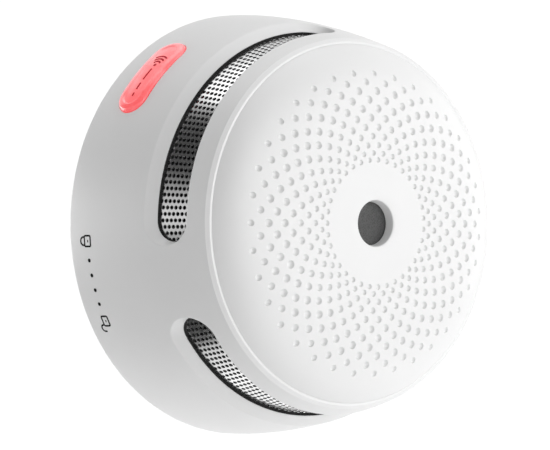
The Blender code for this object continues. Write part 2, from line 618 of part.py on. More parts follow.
def chamber_base(finish):
    made = turned("chamber_base", [
        (0.0, CHAMBER_FLOOR_Z), (CHAMBER_FLANGE_RADIUS, CHAMBER_FLOOR_Z),
        (CHAMBER_FLANGE_RADIUS, CHAMBER_DECK_Z),
        (CHAMBER_RIM_RADIUS, CHAMBER_DECK_Z), (CHAMBER_RIM_RADIUS, CHAMBER_RIM_Z),
        (CHAMBER_RIM_RADIUS - CHAMBER_RIM_WIDTH, CHAMBER_RIM_Z),
        (CHAMBER_RIM_RADIUS - CHAMBER_RIM_WIDTH, CHAMBER_DECK_Z),
        (0.0, CHAMBER_DECK_Z)])
    holders = []
    bores = []
    half = EYE_RADIUS + HOLDER_WALL
    for name, angle in EYE_ANGLES.items():
        place = eye_place(angle)
        drop = CHAMBER_DECK_Z - EYE_AXIS_Z - JOIN_OVERLAP
        holders.append(block(f"{name}_holder", (-half, half), (drop, EYE_RADIUS + HOLDER_WALL * 2 / 3),
                             (-EYE_TIP_RADIUS - HOLDER_BACK, -EYE_TIP_RADIUS + HOLDER_FRONT), place))
        bores.append(rod(f"{name}_bore", EYE_RADIUS + FIT_GAP, -EYE_TIP_RADIUS - 2 * HOLDER_BACK,
                         -EYE_TIP_RADIUS + 2 * HOLDER_FRONT, SMALL_SEGMENTS, place))
    combine(made, holders, "UNION")
    for number, angle in enumerate(POST_ANGLES, 1):
        bores.append(upright_rod(f"deck_hole_{number}", SCREW_HOLE_RADIUS, *polar(POST_PITCH_RADIUS, angle),
                                 CHAMBER_FLOOR_Z - CUT_OVERRUN, CHAMBER_DECK_Z + CUT_OVERRUN))
    combine(made, bores, "DIFFERENCE")
    return finish_part(made, finish)


def chamber_cap(finish):
    """Lid of the smoke chamber with the slanted vanes that keep daylight out."""
    made = rod("chamber_cap", CHAMBER_CAP_RADIUS, CHAMBER_LID_Z, CHAMBER_TOP_Z)
    vanes = []
    for number in range(VANE_COUNT):
        angle = 360.0 * number / VANE_COUNT + VANE_FIRST_ANGLE
        place = (radial_place(angle) @ Matrix.Translation((0.0, 0.0, VANE_PITCH_RADIUS))
                 @ Matrix.Rotation(math.radians(VANE_SLANT), 4, "Y"))
        vanes.append(block(f"vane_{number}", (-VANE_THICKNESS / 2, VANE_THICKNESS / 2),
                           (VANE_BACK_Z, CHAMBER_LID_Z + JOIN_OVERLAP),
                           (-VANE_LENGTH / 2, VANE_LENGTH / 2), place))
    combine(made, vanes, "UNION")
    return finish_part(made, finish)


def chamber_eye(name, finish):
    """Five-millimetre emitter or receiver with a domed lens, aimed at the chamber's centre."""
    back = -EYE_TIP_RADIUS - EYE_LENGTH
    dome_start = -EYE_TIP_RADIUS - EYE_RADIUS
    dome = []
    for turn in spread(0.0, 90.0, 4)[1:-1]:
        along, across = polar(EYE_RADIUS, turn)
        dome.append((along, dome_start + across))
    profile = [(0.0, back), (EYE_RADIUS, back), (EYE_RADIUS, dome_start)] + dome + [(0.0, -EYE_TIP_RADIUS)]
    return finish_part(turned(name, profile, SMALL_SEGMENTS, eye_place(EYE_ANGLES[name])), finish)


# ---------------------------------------------------------------- electronics

def circuit_board(finish):
    made = rod("circuit_board", BOARD_RADIUS, BOARD_BACK_Z, BOARD_FRONT_Z)
    holes = [upright_rod(f"board_hole_{number}", SCREW_HOLE_RADIUS, *polar(POST_PITCH_RADIUS, angle),
                         BOARD_BACK_Z - CUT_OVERRUN, BOARD_FRONT_Z + CUT_OVERRUN)
             for number, angle in enumerate(POST_ANGLES, 1)]
    combine(made, holes, "DIFFERENCE")
    return finish_part(made, finish)


def under_board(height):
    """Low and high z of a part of the given height that hangs under the board."""
    top = BOARD_BACK_Z - FIT_GAP
    return top - height, top


def board_parts(black, sleeve, lens):
    finish_part(block("control_chip", CHIP_X, CHIP_Y, under_board(PART_HEIGHT)), black)
    for name, (radius, x, y, height), finish in (("sounder_coil", COIL, black),
                                                 ("storage_capacitor", CAPACITOR, sleeve)):
        finish_part(upright_rod(name, radius, x, y, *under_board(height), CAN_SEGMENTS), finish)
    depth = (SWITCH_FACE_RADIUS - LAMP_BACK, SWITCH_FACE_RADIUS - LAMP_FRONT)
    for number, shift in enumerate((-LAMP_SHIFT, LAMP_SHIFT), 1):
        width = (shift - LAMP_HALF_WIDTH, shift + LAMP_HALF_WIDTH)
        finish_part(block(f"status_led_{number}", width, under_board(PART_HEIGHT), depth,
                          radial_place(BUTTON_ANGLE)), lens)


def test_switch(body_finish, plunger_finish):
    """Side-push switch under the board: a fixed body and the plunger that slides in its bore."""
    low, high = under_board(SWITCH_HEIGHT)
    place = radial_place(BUTTON_ANGLE)
    body = block("switch_body", (-SWITCH_HALF_WIDTH, SWITCH_HALF_WIDTH), (low, high),
                 (SWITCH_INNER_RADIUS, SWITCH_FACE_RADIUS), place)
    axis = place @ Matrix.Translation((0.0, (low + high) / 2, 0.0))
    bore = rod("switch_bore", PLUNGER_RADIUS + FIT_GAP, SWITCH_INNER_RADIUS + 2 * JOIN_OVERLAP,
               SWITCH_FACE_RADIUS + CUT_OVERRUN, SMALL_SEGMENTS, axis)
    combine(body, [bore], "DIFFERENCE")
    finish_part(body, body_finish)
    plunger = rod("switch_plunger", PLUNGER_RADIUS, PLUNGER_ROOT_RADIUS, PLUNGER_TIP_RADIUS,
                  SMALL_SEGMENTS, axis)
    finish_part(plunger, plunger_finish)


def test_button(finish):
    """Pill-shaped cap that follows the wall, with the leg that reaches the switch and the lamps."""
    place = radial_place(BUTTON_ANGLE)
    raised = place @ Matrix.Translation((0.0, BUTTON_Z, 0.0))
    outline = [point for point, _ in stadium(BUTTON_LENGTH, BUTTON_WIDTH, BUTTON_END_STEPS)]
    made = prism("test_button", outline, BUTTON_INNER_RADIUS - BUTTON_CAP_DEPTH,
                 SHELL_RADIUS + BUTTON_CAP_DEPTH, raised)
    levels = spread(BUTTON_Z - BUTTON_WIDTH, BUTTON_Z + BUTTON_WIDTH, 8)
    skin = [(wall_radius(z) + BUTTON_PROUD, z) for z in levels]
    skin += [(BUTTON_INNER_RADIUS, levels[-1]), (BUTTON_INNER_RADIUS, levels[0])]
    ring = turned("button_skin", skin, SHELL_SEGMENTS)
    combine(made, [ring], "INTERSECT")
    half_flange = BUTTON_FLANGE_LENGTH / 2
    flange = block("button_flange", (-half_flange, half_flange),
                   (BUTTON_FLANGE_LOW_Z - BUTTON_Z, BUTTON_FLANGE_HIGH),
                   tuple(BUTTON_INNER_RADIUS - depth for depth in BUTTON_FLANGE_DEPTHS), raised)
    stalk = block("button_stalk", (-LEG_HALF_WIDTH * 2, LEG_HALF_WIDTH * 2),
                  (-BUTTON_STALK_HALF_HEIGHT, BUTTON_STALK_HALF_HEIGHT),
                  (LEG_OUTER_RADIUS - 2 * JOIN_OVERLAP, BUTTON_INNER_RADIUS + BUTTON_STALK_JOIN), raised)
    leg = block("button_leg", (-LEG_HALF_WIDTH, LEG_HALF_WIDTH), (BUTTON_Z - LEG_BELOW, LEG_TOP_Z),
                (LEG_INNER_RADIUS, LEG_OUTER_RADIUS), place)
    combine(made, [flange, stalk, leg], "UNION")
    return finish_part(made, finish)


# ---------------------------------------------------------------- sounder

def sounder(cup_finish, brass, ceramic, foam, mesh_finish):
    wall_in = SOUNDER_BORE_RADIUS
    ledge_in = PIEZO_RADIUS - PIEZO_REST
    ledge_back = SOUNDER_LEDGE_Z - SOUNDER_WALL
    front_back = SOUNDER_FRONT_Z - SOUNDER_WALL
    flange_front = SOUNDER_BACK_Z + SOUNDER_WALL
    cup = turned("sounder_cup", [
        (wall_in, SOUNDER_BACK_Z), (SOUNDER_FLANGE_RADIUS, SOUNDER_BACK_Z),
        (SOUNDER_FLANGE_RADIUS, flange_front), (SOUNDER_RADIUS, flange_front),
        (SOUNDER_RADIUS, SOUNDER_FRONT_Z), (SOUNDER_MOUTH_RADIUS, SOUNDER_FRONT_Z),
        (SOUNDER_MOUTH_RADIUS, front_back), (wall_in, front_back), (wall_in, SOUNDER_LEDGE_Z),
        (ledge_in, SOUNDER_LEDGE_Z), (ledge_in, ledge_back), (wall_in, ledge_back)])
    finish_part(cup, cup_finish)
    plate_z = SOUNDER_LEDGE_Z + FIT_GAP
    finish_part(rod("piezo_plate", PIEZO_RADIUS, plate_z, plate_z + PIEZO_THICKNESS), brass)
    ceramic_z = plate_z - FIT_GAP
    finish_part(rod("piezo_ceramic", PIEZO_CERAMIC_RADIUS, ceramic_z - PIEZO_THICKNESS, ceramic_z), ceramic)
    seal_z = SOUNDER_FRONT_Z + FIT_GAP
    gauze_top = FACE_TOP_Z - SOUND_PORT_DEPTH - FIT_GAP
    gauze_low = gauze_top - GAUZE_THICKNESS
    seal_top = gauze_low - FIT_GAP
    seal = turned("sounder_seal", [(SOUND_PORT_RADIUS, seal_z), (GAUZE_RADIUS, seal_z),
                                   (GAUZE_RADIUS, seal_top), (SOUND_PORT_RADIUS, seal_top)])
    finish_part(seal, foam)
    finish_part(rod("sounder_mesh", GAUZE_RADIUS, gauze_low, gauze_top), mesh_finish)


# ---------------------------------------------------------------- battery

def battery(finish):
    half = BATTERY_LENGTH / 2
    shoulder = -half + BATTERY_NUB_LENGTH
    profile = [(0.0, -half), (BATTERY_NUB_RADIUS, -half), (BATTERY_NUB_RADIUS, shoulder),
               (BATTERY_RADIUS - BATTERY_RIM, shoulder), (BATTERY_RADIUS, shoulder + BATTERY_RIM),
               (BATTERY_RADIUS, half - BATTERY_RIM), (BATTERY_RADIUS - BATTERY_RIM, half), (0.0, half)]
    return finish_part(turned("battery", profile, 32, along_x_place(0.0, BATTERY_AXIS_Z)), finish)


def battery_contact(name, side, finish):
    """Bowed leaf spring at one end of the battery bay."""
    wall_x = BAY_HALF_LENGTH - FIT_GAP
    tip_x = BATTERY_LENGTH / 2 + FIT_GAP + CONTACT_THICKNESS
    foot_z = PLATE_FRONT_Z + CONTACT_LIFT
    top_z = BAY_FRONT_Z - 2 * FIT_GAP
    bow = []
    for share in spread(0.0, 1.0, 8):
        lean = math.sin(math.pi * share) ** 2
        bow.append((wall_x - (wall_x - tip_x) * lean, foot_z + (top_z - foot_z) * share))
    outline = bow + [(x - CONTACT_THICKNESS, z) for x, z in reversed(bow)]
    place = Matrix(((side, 0, 0, 0), (0, 0, 1, 0), (0, 1, 0, 0), (0, 0, 0, 1)))
    return finish_part(prism(name, outline, -CONTACT_HALF_WIDTH, CONTACT_HALF_WIDTH, place), finish)


def battery_door(finish):
    """Door over the battery bay, hung on two stub pins along its upper edge."""
    outline = [(DOOR_HALF_LENGTH, DOOR_UPPER_Y), (DOOR_NECK_HALF_LENGTH, DOOR_UPPER_Y),
               (DOOR_NECK_HALF_LENGTH, DOOR_HINGE_Y), (-DOOR_NECK_HALF_LENGTH, DOOR_HINGE_Y),
               (-DOOR_NECK_HALF_LENGTH, DOOR_UPPER_Y), (-DOOR_HALF_LENGTH, DOOR_UPPER_Y),
               (-DOOR_HALF_LENGTH, DOOR_LOWER_Y), (-DOOR_TONGUE_HALF_WIDTH, DOOR_LOWER_Y),
               (-DOOR_TONGUE_HALF_WIDTH, DOOR_TONGUE_Y), (DOOR_TONGUE_HALF_WIDTH, DOOR_TONGUE_Y),
               (DOOR_TONGUE_HALF_WIDTH, DOOR_LOWER_Y), (DOOR_HALF_LENGTH, DOOR_LOWER_Y)]
    hinge = bpy.data.objects.new("battery_door_hinge", None)
    hinge.location = (0.0, DOOR_HINGE_Y, DOOR_HINGE_Z)
    hinge.parent = bpy.data.objects["alarm_frame"]
    bpy.context.collection.objects.link(hinge)
    to_hinge = Matrix.Translation((0.0, -DOOR_HINGE_Y, -DOOR_HINGE_Z))
    made = prism("battery_door", outline, DOOR_BACK_Z, DOOR_FRONT_Z, to_hinge)
    along_hinge = to_hinge @ along_x_place(DOOR_HINGE_Y, DOOR_HINGE_Z)
    barrel_end = DOOR_NECK_HALF_LENGTH - DOOR_BARREL_INSET
    barrel = rod("door_barrel", DOOR_BARREL_RADIUS, -barrel_end, barrel_end, SMALL_SEGMENTS, along_hinge)
    pin_end = DOOR_NECK_HALF_LENGTH + DOOR_PIN_LENGTH
    pins = rod("door_pins", DOOR_PIN_RADIUS, -pin_end, pin_end, DOOR_PIN_SEGMENTS, along_hinge)
    for piece in (made, barrel, pins):
        piece.parent = hinge
    combine(made, [barrel, pins], "UNION")
    return finish_part(made, finish)


# ---------------------------------------------------------------- assembly

def build_alarm():
    clear_scene()
    frame = bpy.data.objects.new("alarm_frame", None)
    frame.rotation_euler = (math.pi / 2, 0.0, 0.0)
    bpy.context.collection.objects.link(frame)

    white = plastic("white_shell_plastic", (0.80, 0.80, 0.80), 0.42)
    grey = plastic("grey_housing_plastic", (0.66, 0.66, 0.66), 0.5)
    black = plastic("black_chamber_plastic", (0.02, 0.02, 0.02), 0.6)
    red = plastic("clear_red_plastic", (0.95, 0.22, 0.24), 0.25, 0.0, 0.4)
    steel = plastic("screen_steel", (0.62, 0.62, 0.62), 0.35, 1.0)
    zinc = plastic("zinc_plated_steel", (0.68, 0.68, 0.66), 0.35, 1.0)
    spring = plastic("nickel_spring_steel", (0.75, 0.73, 0.68), 0.3, 1.0)
    brass = plastic("brass", (0.80, 0.62, 0.28), 0.3, 1.0)
    ceramic = plastic("piezo_ceramic", (0.75, 0.75, 0.70), 0.5)
    resin = plastic("green_board_resin", (0.05, 0.28, 0.12), 0.45)
    chip = plastic("black_epoxy", (0.03, 0.03, 0.03), 0.5)
    sleeve = plastic("printed_sleeve", (0.06, 0.09, 0.22), 0.4)
    wrap = plastic("battery_wrap", (0.12, 0.22, 0.45), 0.35)
    lens = plastic("diffused_lens", (0.85, 0.80, 0.78), 0.3)
    tinted = plastic("tinted_lens", (0.10, 0.05, 0.12), 0.2)
    foam = plastic("black_foam", (0.04, 0.04, 0.04), 0.9)
    gauze = plastic("dark_gauze", (0.08, 0.08, 0.08), 0.7)

    mounting_bracket(white)
    side_shell(white)
    face_cover(white)
    rear_housing(grey)
    insect_screen(steel)
    chamber_base(black)
    chamber_cap(black)
    chamber_eye("infrared_led", lens)
    chamber_eye("photodiode", tinted)
    circuit_board(resin)
    board_parts(chip, sleeve, lens)
    test_switch(chip, lens)
    test_button(red)
    sounder(black, brass, ceramic, foam, gauze)
    battery(wrap)
    battery_contact("contact_positive", -1, spring)
    battery_contact("contact_negative", 1, spring)
    battery_door(grey)
    for number, angle in enumerate(BOSS_ANGLES, 1):
        screw(f"housing_screw_{number}", *polar(BOSS_PITCH_RADIUS, angle), PLATE_BACK_Z - FIT_GAP,
              BOSS_FRONT_Z - HOUSING_SCREW_CLEAR, zinc)
    for number, angle in enumerate(POST_ANGLES, 1):
        screw(f"board_screw_{number}", *polar(POST_PITCH_RADIUS, angle), CHAMBER_DECK_Z + FIT_GAP,
              TUB_FRONT_Z - BOARD_SCREW_DEPTH, zinc)


build_alarm()
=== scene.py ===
"""Round battery smoke alarm on its twist-lock wall bracket: the looks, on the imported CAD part.

World frame: the origin is the centre of the bracket's back, +Z is up and +Y points into the wall.
Shapes are drawn in the alarm's own frame: x to the right, y up and z the height off the wall.
Angles are in degrees, from +x towards +y, as seen by someone who looks at the face.
"""

import json
import math

import bmesh
import bpy
import numpy as np
from bpy.props import FloatProperty, FloatVectorProperty, IntProperty, PointerProperty
from bpy.types import Operator, Panel, PropertyGroup
from mathutils import Matrix, Vector
from mathutils.geometry import delaunay_2d_cdt


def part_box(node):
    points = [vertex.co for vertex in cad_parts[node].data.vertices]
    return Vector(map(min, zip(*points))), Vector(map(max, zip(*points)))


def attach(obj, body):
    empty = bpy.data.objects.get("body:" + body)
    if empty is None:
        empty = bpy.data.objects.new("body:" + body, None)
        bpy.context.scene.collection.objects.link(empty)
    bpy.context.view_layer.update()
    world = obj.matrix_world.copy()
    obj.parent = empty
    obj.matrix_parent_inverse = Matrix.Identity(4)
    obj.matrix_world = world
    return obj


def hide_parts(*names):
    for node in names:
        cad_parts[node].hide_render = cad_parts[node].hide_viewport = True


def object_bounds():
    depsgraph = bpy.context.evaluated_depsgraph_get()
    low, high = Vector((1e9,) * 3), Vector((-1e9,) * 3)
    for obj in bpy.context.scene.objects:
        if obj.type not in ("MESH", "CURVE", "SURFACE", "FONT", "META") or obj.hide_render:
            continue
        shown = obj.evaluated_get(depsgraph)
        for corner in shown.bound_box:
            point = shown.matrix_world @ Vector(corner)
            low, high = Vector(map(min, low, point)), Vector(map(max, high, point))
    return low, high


bl_info = {
    "name": "Smoke Alarm Looks",
    "version": (1, 0, 0),
    "blender": (4, 5, 0),
    "location": "View3D > Sidebar > Smoke Alarm",
    "description": "Casing, screen, button, lock marks and finishes of a round battery smoke alarm",
    "category": "Add Mesh",
}

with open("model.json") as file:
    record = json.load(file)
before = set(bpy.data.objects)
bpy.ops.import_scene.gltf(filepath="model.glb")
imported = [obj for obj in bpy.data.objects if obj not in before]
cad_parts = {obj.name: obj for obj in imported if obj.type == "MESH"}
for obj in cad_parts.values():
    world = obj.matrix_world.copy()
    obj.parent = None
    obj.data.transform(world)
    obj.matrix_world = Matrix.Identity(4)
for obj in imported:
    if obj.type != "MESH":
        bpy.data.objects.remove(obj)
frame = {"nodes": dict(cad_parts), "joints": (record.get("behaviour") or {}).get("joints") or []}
CAD_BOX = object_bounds()
NODES = frame["nodes"]


def span(node):
    """Lowest and highest x, y and z of a CAD part in the alarm's own frame."""
    low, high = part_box(node)
    return Vector((low.x, low.z, -high.y)), Vector((high.x, high.z, -low.y))


MM = 0.001
MERGE = 0.001 * MM
NORMAL_STEP = 0.001 * MM
STEPS_ROUND = 240
FIRST_ANGLE = -43.0

# Outer wall, as in the CAD part: it swells from the front lip to its widest at the back.
SHELL_LOW, SHELL_HIGH = span("side_shell")
SHELL_RADIUS = 51.0 * MM
WALL_HEIGHT = SHELL_HIGH.z - SHELL_LOW.z
WALL_DRAW_IN = 8.12 * MM
WALL_CURVE = 1.7
WALL_THICKNESS = 2.0 * MM
BACK_EDGE = 0.7 * MM
LIP_EDGE = 0.75 * MM
LIP_CREST_RADIUS = 42.3 * MM
LIP_INNER_RADIUS = 41.7 * MM
LEDGE_INNER_RADIUS = 39.9 * MM
LEDGE_BACK_Z = 40.3 * MM
LEDGE_FRONT_Z = 41.6 * MM
FLAT_RADIUS = 46.0 * MM
OUTER_ROWS, INNER_ROWS = 32, 26
SHEET_CLEAR = 0.35
LIP_SOFTENING = 0.1 * MM

# Smoke slots.
SLOT_ANGLES = (17.0, 137.0, 257.0)
SLOT_SPAN = 97.0
SLOT_WIDTH = 9.8 * MM
SLOT_MID_Z = SHELL_LOW.z + 31.8 * MM
SLOT_MEAN_RADIUS = 45.5 * MM
SLOT_SCOOP_DEPTH = 1.7 * MM
SLOT_SCOOP_POWER = 1.5
SLOT_STEPS = (26, 58)
EDGE_SOFTENING = 0.22 * MM
# Dark strip inside each slot: painted shade that stands in for the shadow between the slot's neck and the
# screen.
SHADE_LINER_LAP = 0.04 * MM
SHADE_LINER_TOP = 1.92 * MM
SHADE_LINER_FLANGE = 1.0 * MM

# Bosses inside the shell that take the housing screws.
BOSS_ANGLES = (77.0, 197.0, 317.0)
BOSS_PITCH_RADIUS = 45.2 * MM
BOSS_RADIUS = 2.8 * MM
BOSS_BORE = 1.5 * MM
BOSS_BACK_Z = 8.5 * MM
BOSS_FRONT_Z = 18.0 * MM
BOSS_STEPS = 32
BOSS_WEB_HALF_WIDTH = 1.5 * MM
BOSS_WEB_DROP = 0.2 * MM

# Face.
FACE_LOW, FACE_HIGH = span("face_cover")
FACE_RADIUS = 41.69 * MM
FACE_THICKNESS = 1.8 * MM
FACE_FALL = 15.34 * MM
FACE_FALL_RADIUS = 44.15 * MM
FACE_CURVE = 5.0
PORT_RADIUS = 5.0 * MM
PORT_DRAFT = 0.3 * MM
PORT_ROUND = 0.35 * MM
PORT_HALO = 2.6 * MM
PORT_HALO_DEPTH = 0.12 * MM
DIMPLE_SHARES = (0.4219, 0.4677, 0.52, 0.5779, 0.6392, 0.7015, 0.7627, 0.823, 0.8817, 0.9401, 1.0)
DIMPLE_WIDTHS = ((0, 6, 8, 10), (1.3 * MM, 1.9 * MM, 1.9 * MM, 1.5 * MM))
DIMPLE_STEPS = 18
DIMPLE_FLOOR = 3.2
DIMPLE_BLEND = (0.92, 1.07)
DIMPLE_FILL = (0.35, 0.62, 0.8, DIMPLE_BLEND[0], 0.99, DIMPLE_BLEND[1])
COLLAR_DEPTH = 2.4 * MM

# Rings of loose points that even out the face's mesh: radius in millimetres and number of points.
FACE_FILL = ((41.45, 240), (41.2, 240), (40.85, 240), (40.4, 240), (39.9, 200), (39.2, 180), (38.4, 160),
             (37.4, 140), (36.3, 120), (13.2, 60), (11.6, 60), (10.2, 72), (8.9, 84), (7.8, 96), (7.0, 120),
             (6.4, 160), (5.95, 200))
FACE_CLEAR = 0.05

# Perforated screen.
SCREEN_LOW, SCREEN_HIGH = span("insect_screen")
SCREEN_INSET = 2.6 * MM
SCREEN_THICKNESS = 0.3 * MM
SCREEN_INSETS = (SCREEN_INSET, SCREEN_INSET + SCREEN_THICKNESS)
SCREEN_COLUMNS = 190
SCREEN_PER_COLUMN = 11
SCREEN_FIRST_ANGLE = math.radians(1.1)
SCREEN_HOLE_STEPS = 12

# Test button.
PRESS_AXIS = next(Vector(j["axis"]) for j in frame["joints"] if j["name"] == "button_press")
BUTTON_ANGLE = math.degrees(math.atan2(-PRESS_AXIS.z, -PRESS_AXIS.x))
BUTTON_LENGTH = 22.7 * MM
BUTTON_WIDTH = 8.3 * MM
BUTTON_Z = span("test_button")[0].z + BUTTON_WIDTH / 2
BUTTON_INNER_RADIUS = 46.9 * MM
BUTTON_GAP = 0.12 * MM
# Strength of the button's painted glow, an emission that stands in for light through the plastic.
BUTTON_PAINTED_GLOW = 0.42
BUTTON_HOLE_STEPS = (20, 22)
BUTTON_STEPS = (24, 30)
BUTTON_INSETS = (0.0, 0.03, 0.08, 0.16, 0.28, 0.5, 0.8, 1.1, 1.35, 1.5, 1.62, 1.74, 1.88, 2.1, 2.5, 2.9,
                 3.3, 3.7)
BUTTON_EDGE_WIDTH = 0.5 * MM
BUTTON_SLOPE_WIDTH = 1.5 * MM
BUTTON_RISE_SHARES = (0.62, 0.38)
BUTTON_DISH_START = 1.45 * MM
BUTTON_DISH_WIDTH = 0.5 * MM
BUTTON_SCATTER = (0.0022, 0.0009, 0.0008)
# Painted glow of the button: the height band where it pales towards the top, its two colours, and the depths
# in from its inner face where it starts and where it is full.
PAINTED_GLOW_RISE = (30.0 * MM, 43.0 * MM)
PAINTED_GLOW_COLOURS = ((1.0, 0.08, 0.09), (1.0, 0.58, 0.60))
PAINTED_GLOW_DEPTHS = (1.5 * MM, 2.5 * MM)

# Finishes.
DUST_COLOUR = (0.62, 0.60, 0.57)
BATTERY_BAND = 5.5 * MM
CAPACITOR_BAND = 1.6 * MM

# Hidden inner parts of the test button: flange, stalk and leg.
FLANGE_INSETS = (3.3 * MM, 1.7 * MM)
FLANGE_HALF_LENGTH = 12.8 * MM
FLANGE_LOW_Z = 8.6 * MM
FLANGE_RISE = 3.8 * MM
STALK_HALF_LENGTH = 6.0 * MM
STALK_HALF_HEIGHT = 2.0 * MM
STALK_DEPTH = 2.0 * MM
STALK_LAP = 0.1 * MM
LEG_HALF_LENGTH = 3.0 * MM
LEG_DROP = 2.5 * MM
LEG_RADII = (40.1 * MM, 42.1 * MM)

# Raised sign on the button, in millimetres: radius and half turn of each arc, and the ends of each dash.
SIGN_STROKE = 0.46 * MM
SIGN_FILM = 0.04 * MM
SIGN_ARCS = ((1.2, 60.0), (2.1, 46.0), (3.0, 38.0))
SIGN_ARC_X = -2.6
SIGN_DOT_X = -2.5
SIGN_DOT_RADIUS = 0.22
SIGN_DOT_STROKE = 0.4 * MM
SIGN_DASHES = ((-1.2, 2.4), (3.4, 5.4), (6.4, 7.4))

# Lock marks printed on the wall: angle round the wall and height off the wall.
MARK_Z = SHELL_LOW.z + 6.6 * MM
MARK_STROKE = 0.42 * MM
MARK_FILM = 0.03 * MM
CLOSED_ANGLE = 184.6
OPEN_ANGLE = 206.5
DOT_ANGLES = (189.7, 193.7, 197.7, 201.6)
DOT_RADIUS = 0.47 * MM

# Padlock, in millimetres from the middle of its body. Each bow: its middle, its radius and its free end.
LOCK_HALF_WIDTH = 1.25
LOCK_HALF_HEIGHT = 1.02
LOCK_CORNER = 0.3
LOCK_BOW_Y = -1.45
CLOSED_BOW = (0.0, 0.95, -LOCK_HALF_HEIGHT)
OPEN_BOW = (1.85, 0.84, -0.9)
KEYHOLE_XS = (-0.28, -0.1, 0.1, 0.28)
KEYHOLE_Y = 0.1
KEYHOLE_STROKE = 0.3 * MM

# Gauze in the sound port.
GAUZE_THREAD = 0.42 * MM
GAUZE_RELIEF = 0.05 * MM
GAUZE_STEPS = 120
GAUZE_FILL_MARGIN = 0.2 * MM
GAUZE_RIM_WIDTH = 0.1 * MM

# Stage. Each light has its name, its place in the world, its width and height, and its power.
SOFT_LIGHTS = (
    ("Front softbox", (-0.1, -1.3, 0.2), (0.9, 0.9), 5.5),
    ("Front right softbox", (0.85, -1.0, 0.25), (0.9, 0.9), 5.4),
    ("Right softbox", (1.25, -0.15, 0.2), (0.8, 0.8), 2.3),
    ("Overhead softbox", (0.0, 0.1, 1.25), (1.1, 1.2), 6.6),
    ("Low front card", (0.0, -0.7, -0.38), (0.9, 0.5), 0.6),
    ("Rear left card", (-0.85, 1.0, 0.0), (0.6, 0.5), 1.9),
    ("Far rear left card", (-0.5, 1.2, 0.0), (0.5, 0.6), 4.3),
)
FLOOR_RADIUS = 6.0
FLOOR_GLOW = 0.8
CARD_WAY = (-0.66, 0.36, -0.66)
CARD_DISTANCE = 0.4
CARD_HALF_SIZE = 0.11
BACKDROP_LEVEL = 1.05
MIRROR_BRIGHT, MIRROR_DARK = 0.95, 0.08
VIEWER_WAY = (-0.72, -0.69, 0.0)
SENSOR_WIDTH = 36.0
LENS_LENGTH = 177.2
CAMERA_CENTRE = (0.0, -0.04874, 0.0)
CAMERA_RISE = -0.36
CAMERA_AIM_LEFT = 1.993
CAMERA_AIM_DOWN = 0.032


# ---------------------------------------------------------------- shared surfaces

def wall_radius(z):
    share = np.clip((z - SHELL_LOW.z) / WALL_HEIGHT, 0.0, 1.0)
    return SHELL_RADIUS - WALL_DRAW_IN * share ** WALL_CURVE


def wall_slope(z):
    """How fast the wall draws in with height."""
    share = np.clip((z - SHELL_LOW.z) / WALL_HEIGHT, 0.0, 1.0)
    return WALL_DRAW_IN * WALL_CURVE / WALL_HEIGHT * share ** (WALL_CURVE - 1.0)


def face_height(radius):
    share = (radius / FACE_FALL_RADIUS) ** FACE_CURVE
    return FACE_HIGH.z - FACE_FALL * (1.0 - np.sqrt(1.0 - share))


def face_slope(radius):
    """How fast the face falls with radius."""
    share = (radius / FACE_FALL_RADIUS) ** FACE_CURVE
    return FACE_FALL * FACE_CURVE * share / (2.0 * np.maximum(radius, MM) * np.sqrt(1.0 - share))


def around(angle, radius, z):
    """Points from angles in radians, radii and heights."""
    angle, radius, z = np.broadcast_arrays(angle, radius, z)
    return np.stack([radius * np.cos(angle), radius * np.sin(angle), z], -1)


def unit(vectors):
    return vectors / np.linalg.norm(vectors, axis=-1, keepdims=True)


def circle(radius, steps, first=0.0):
    """Points of a circle round the middle of a plane."""
    turn = first + np.arange(steps) * math.tau / steps
    return radius * np.stack([np.cos(turn), np.sin(turn)], -1)


def carried(place, points, normals):
    """Points and normals moved by a placing matrix."""
    matrix = np.array(place)
    return points @ matrix[:3, :3].T + matrix[:3, 3], normals @ matrix[:3, :3].T


# ---------------------------------------------------------------- mesh making

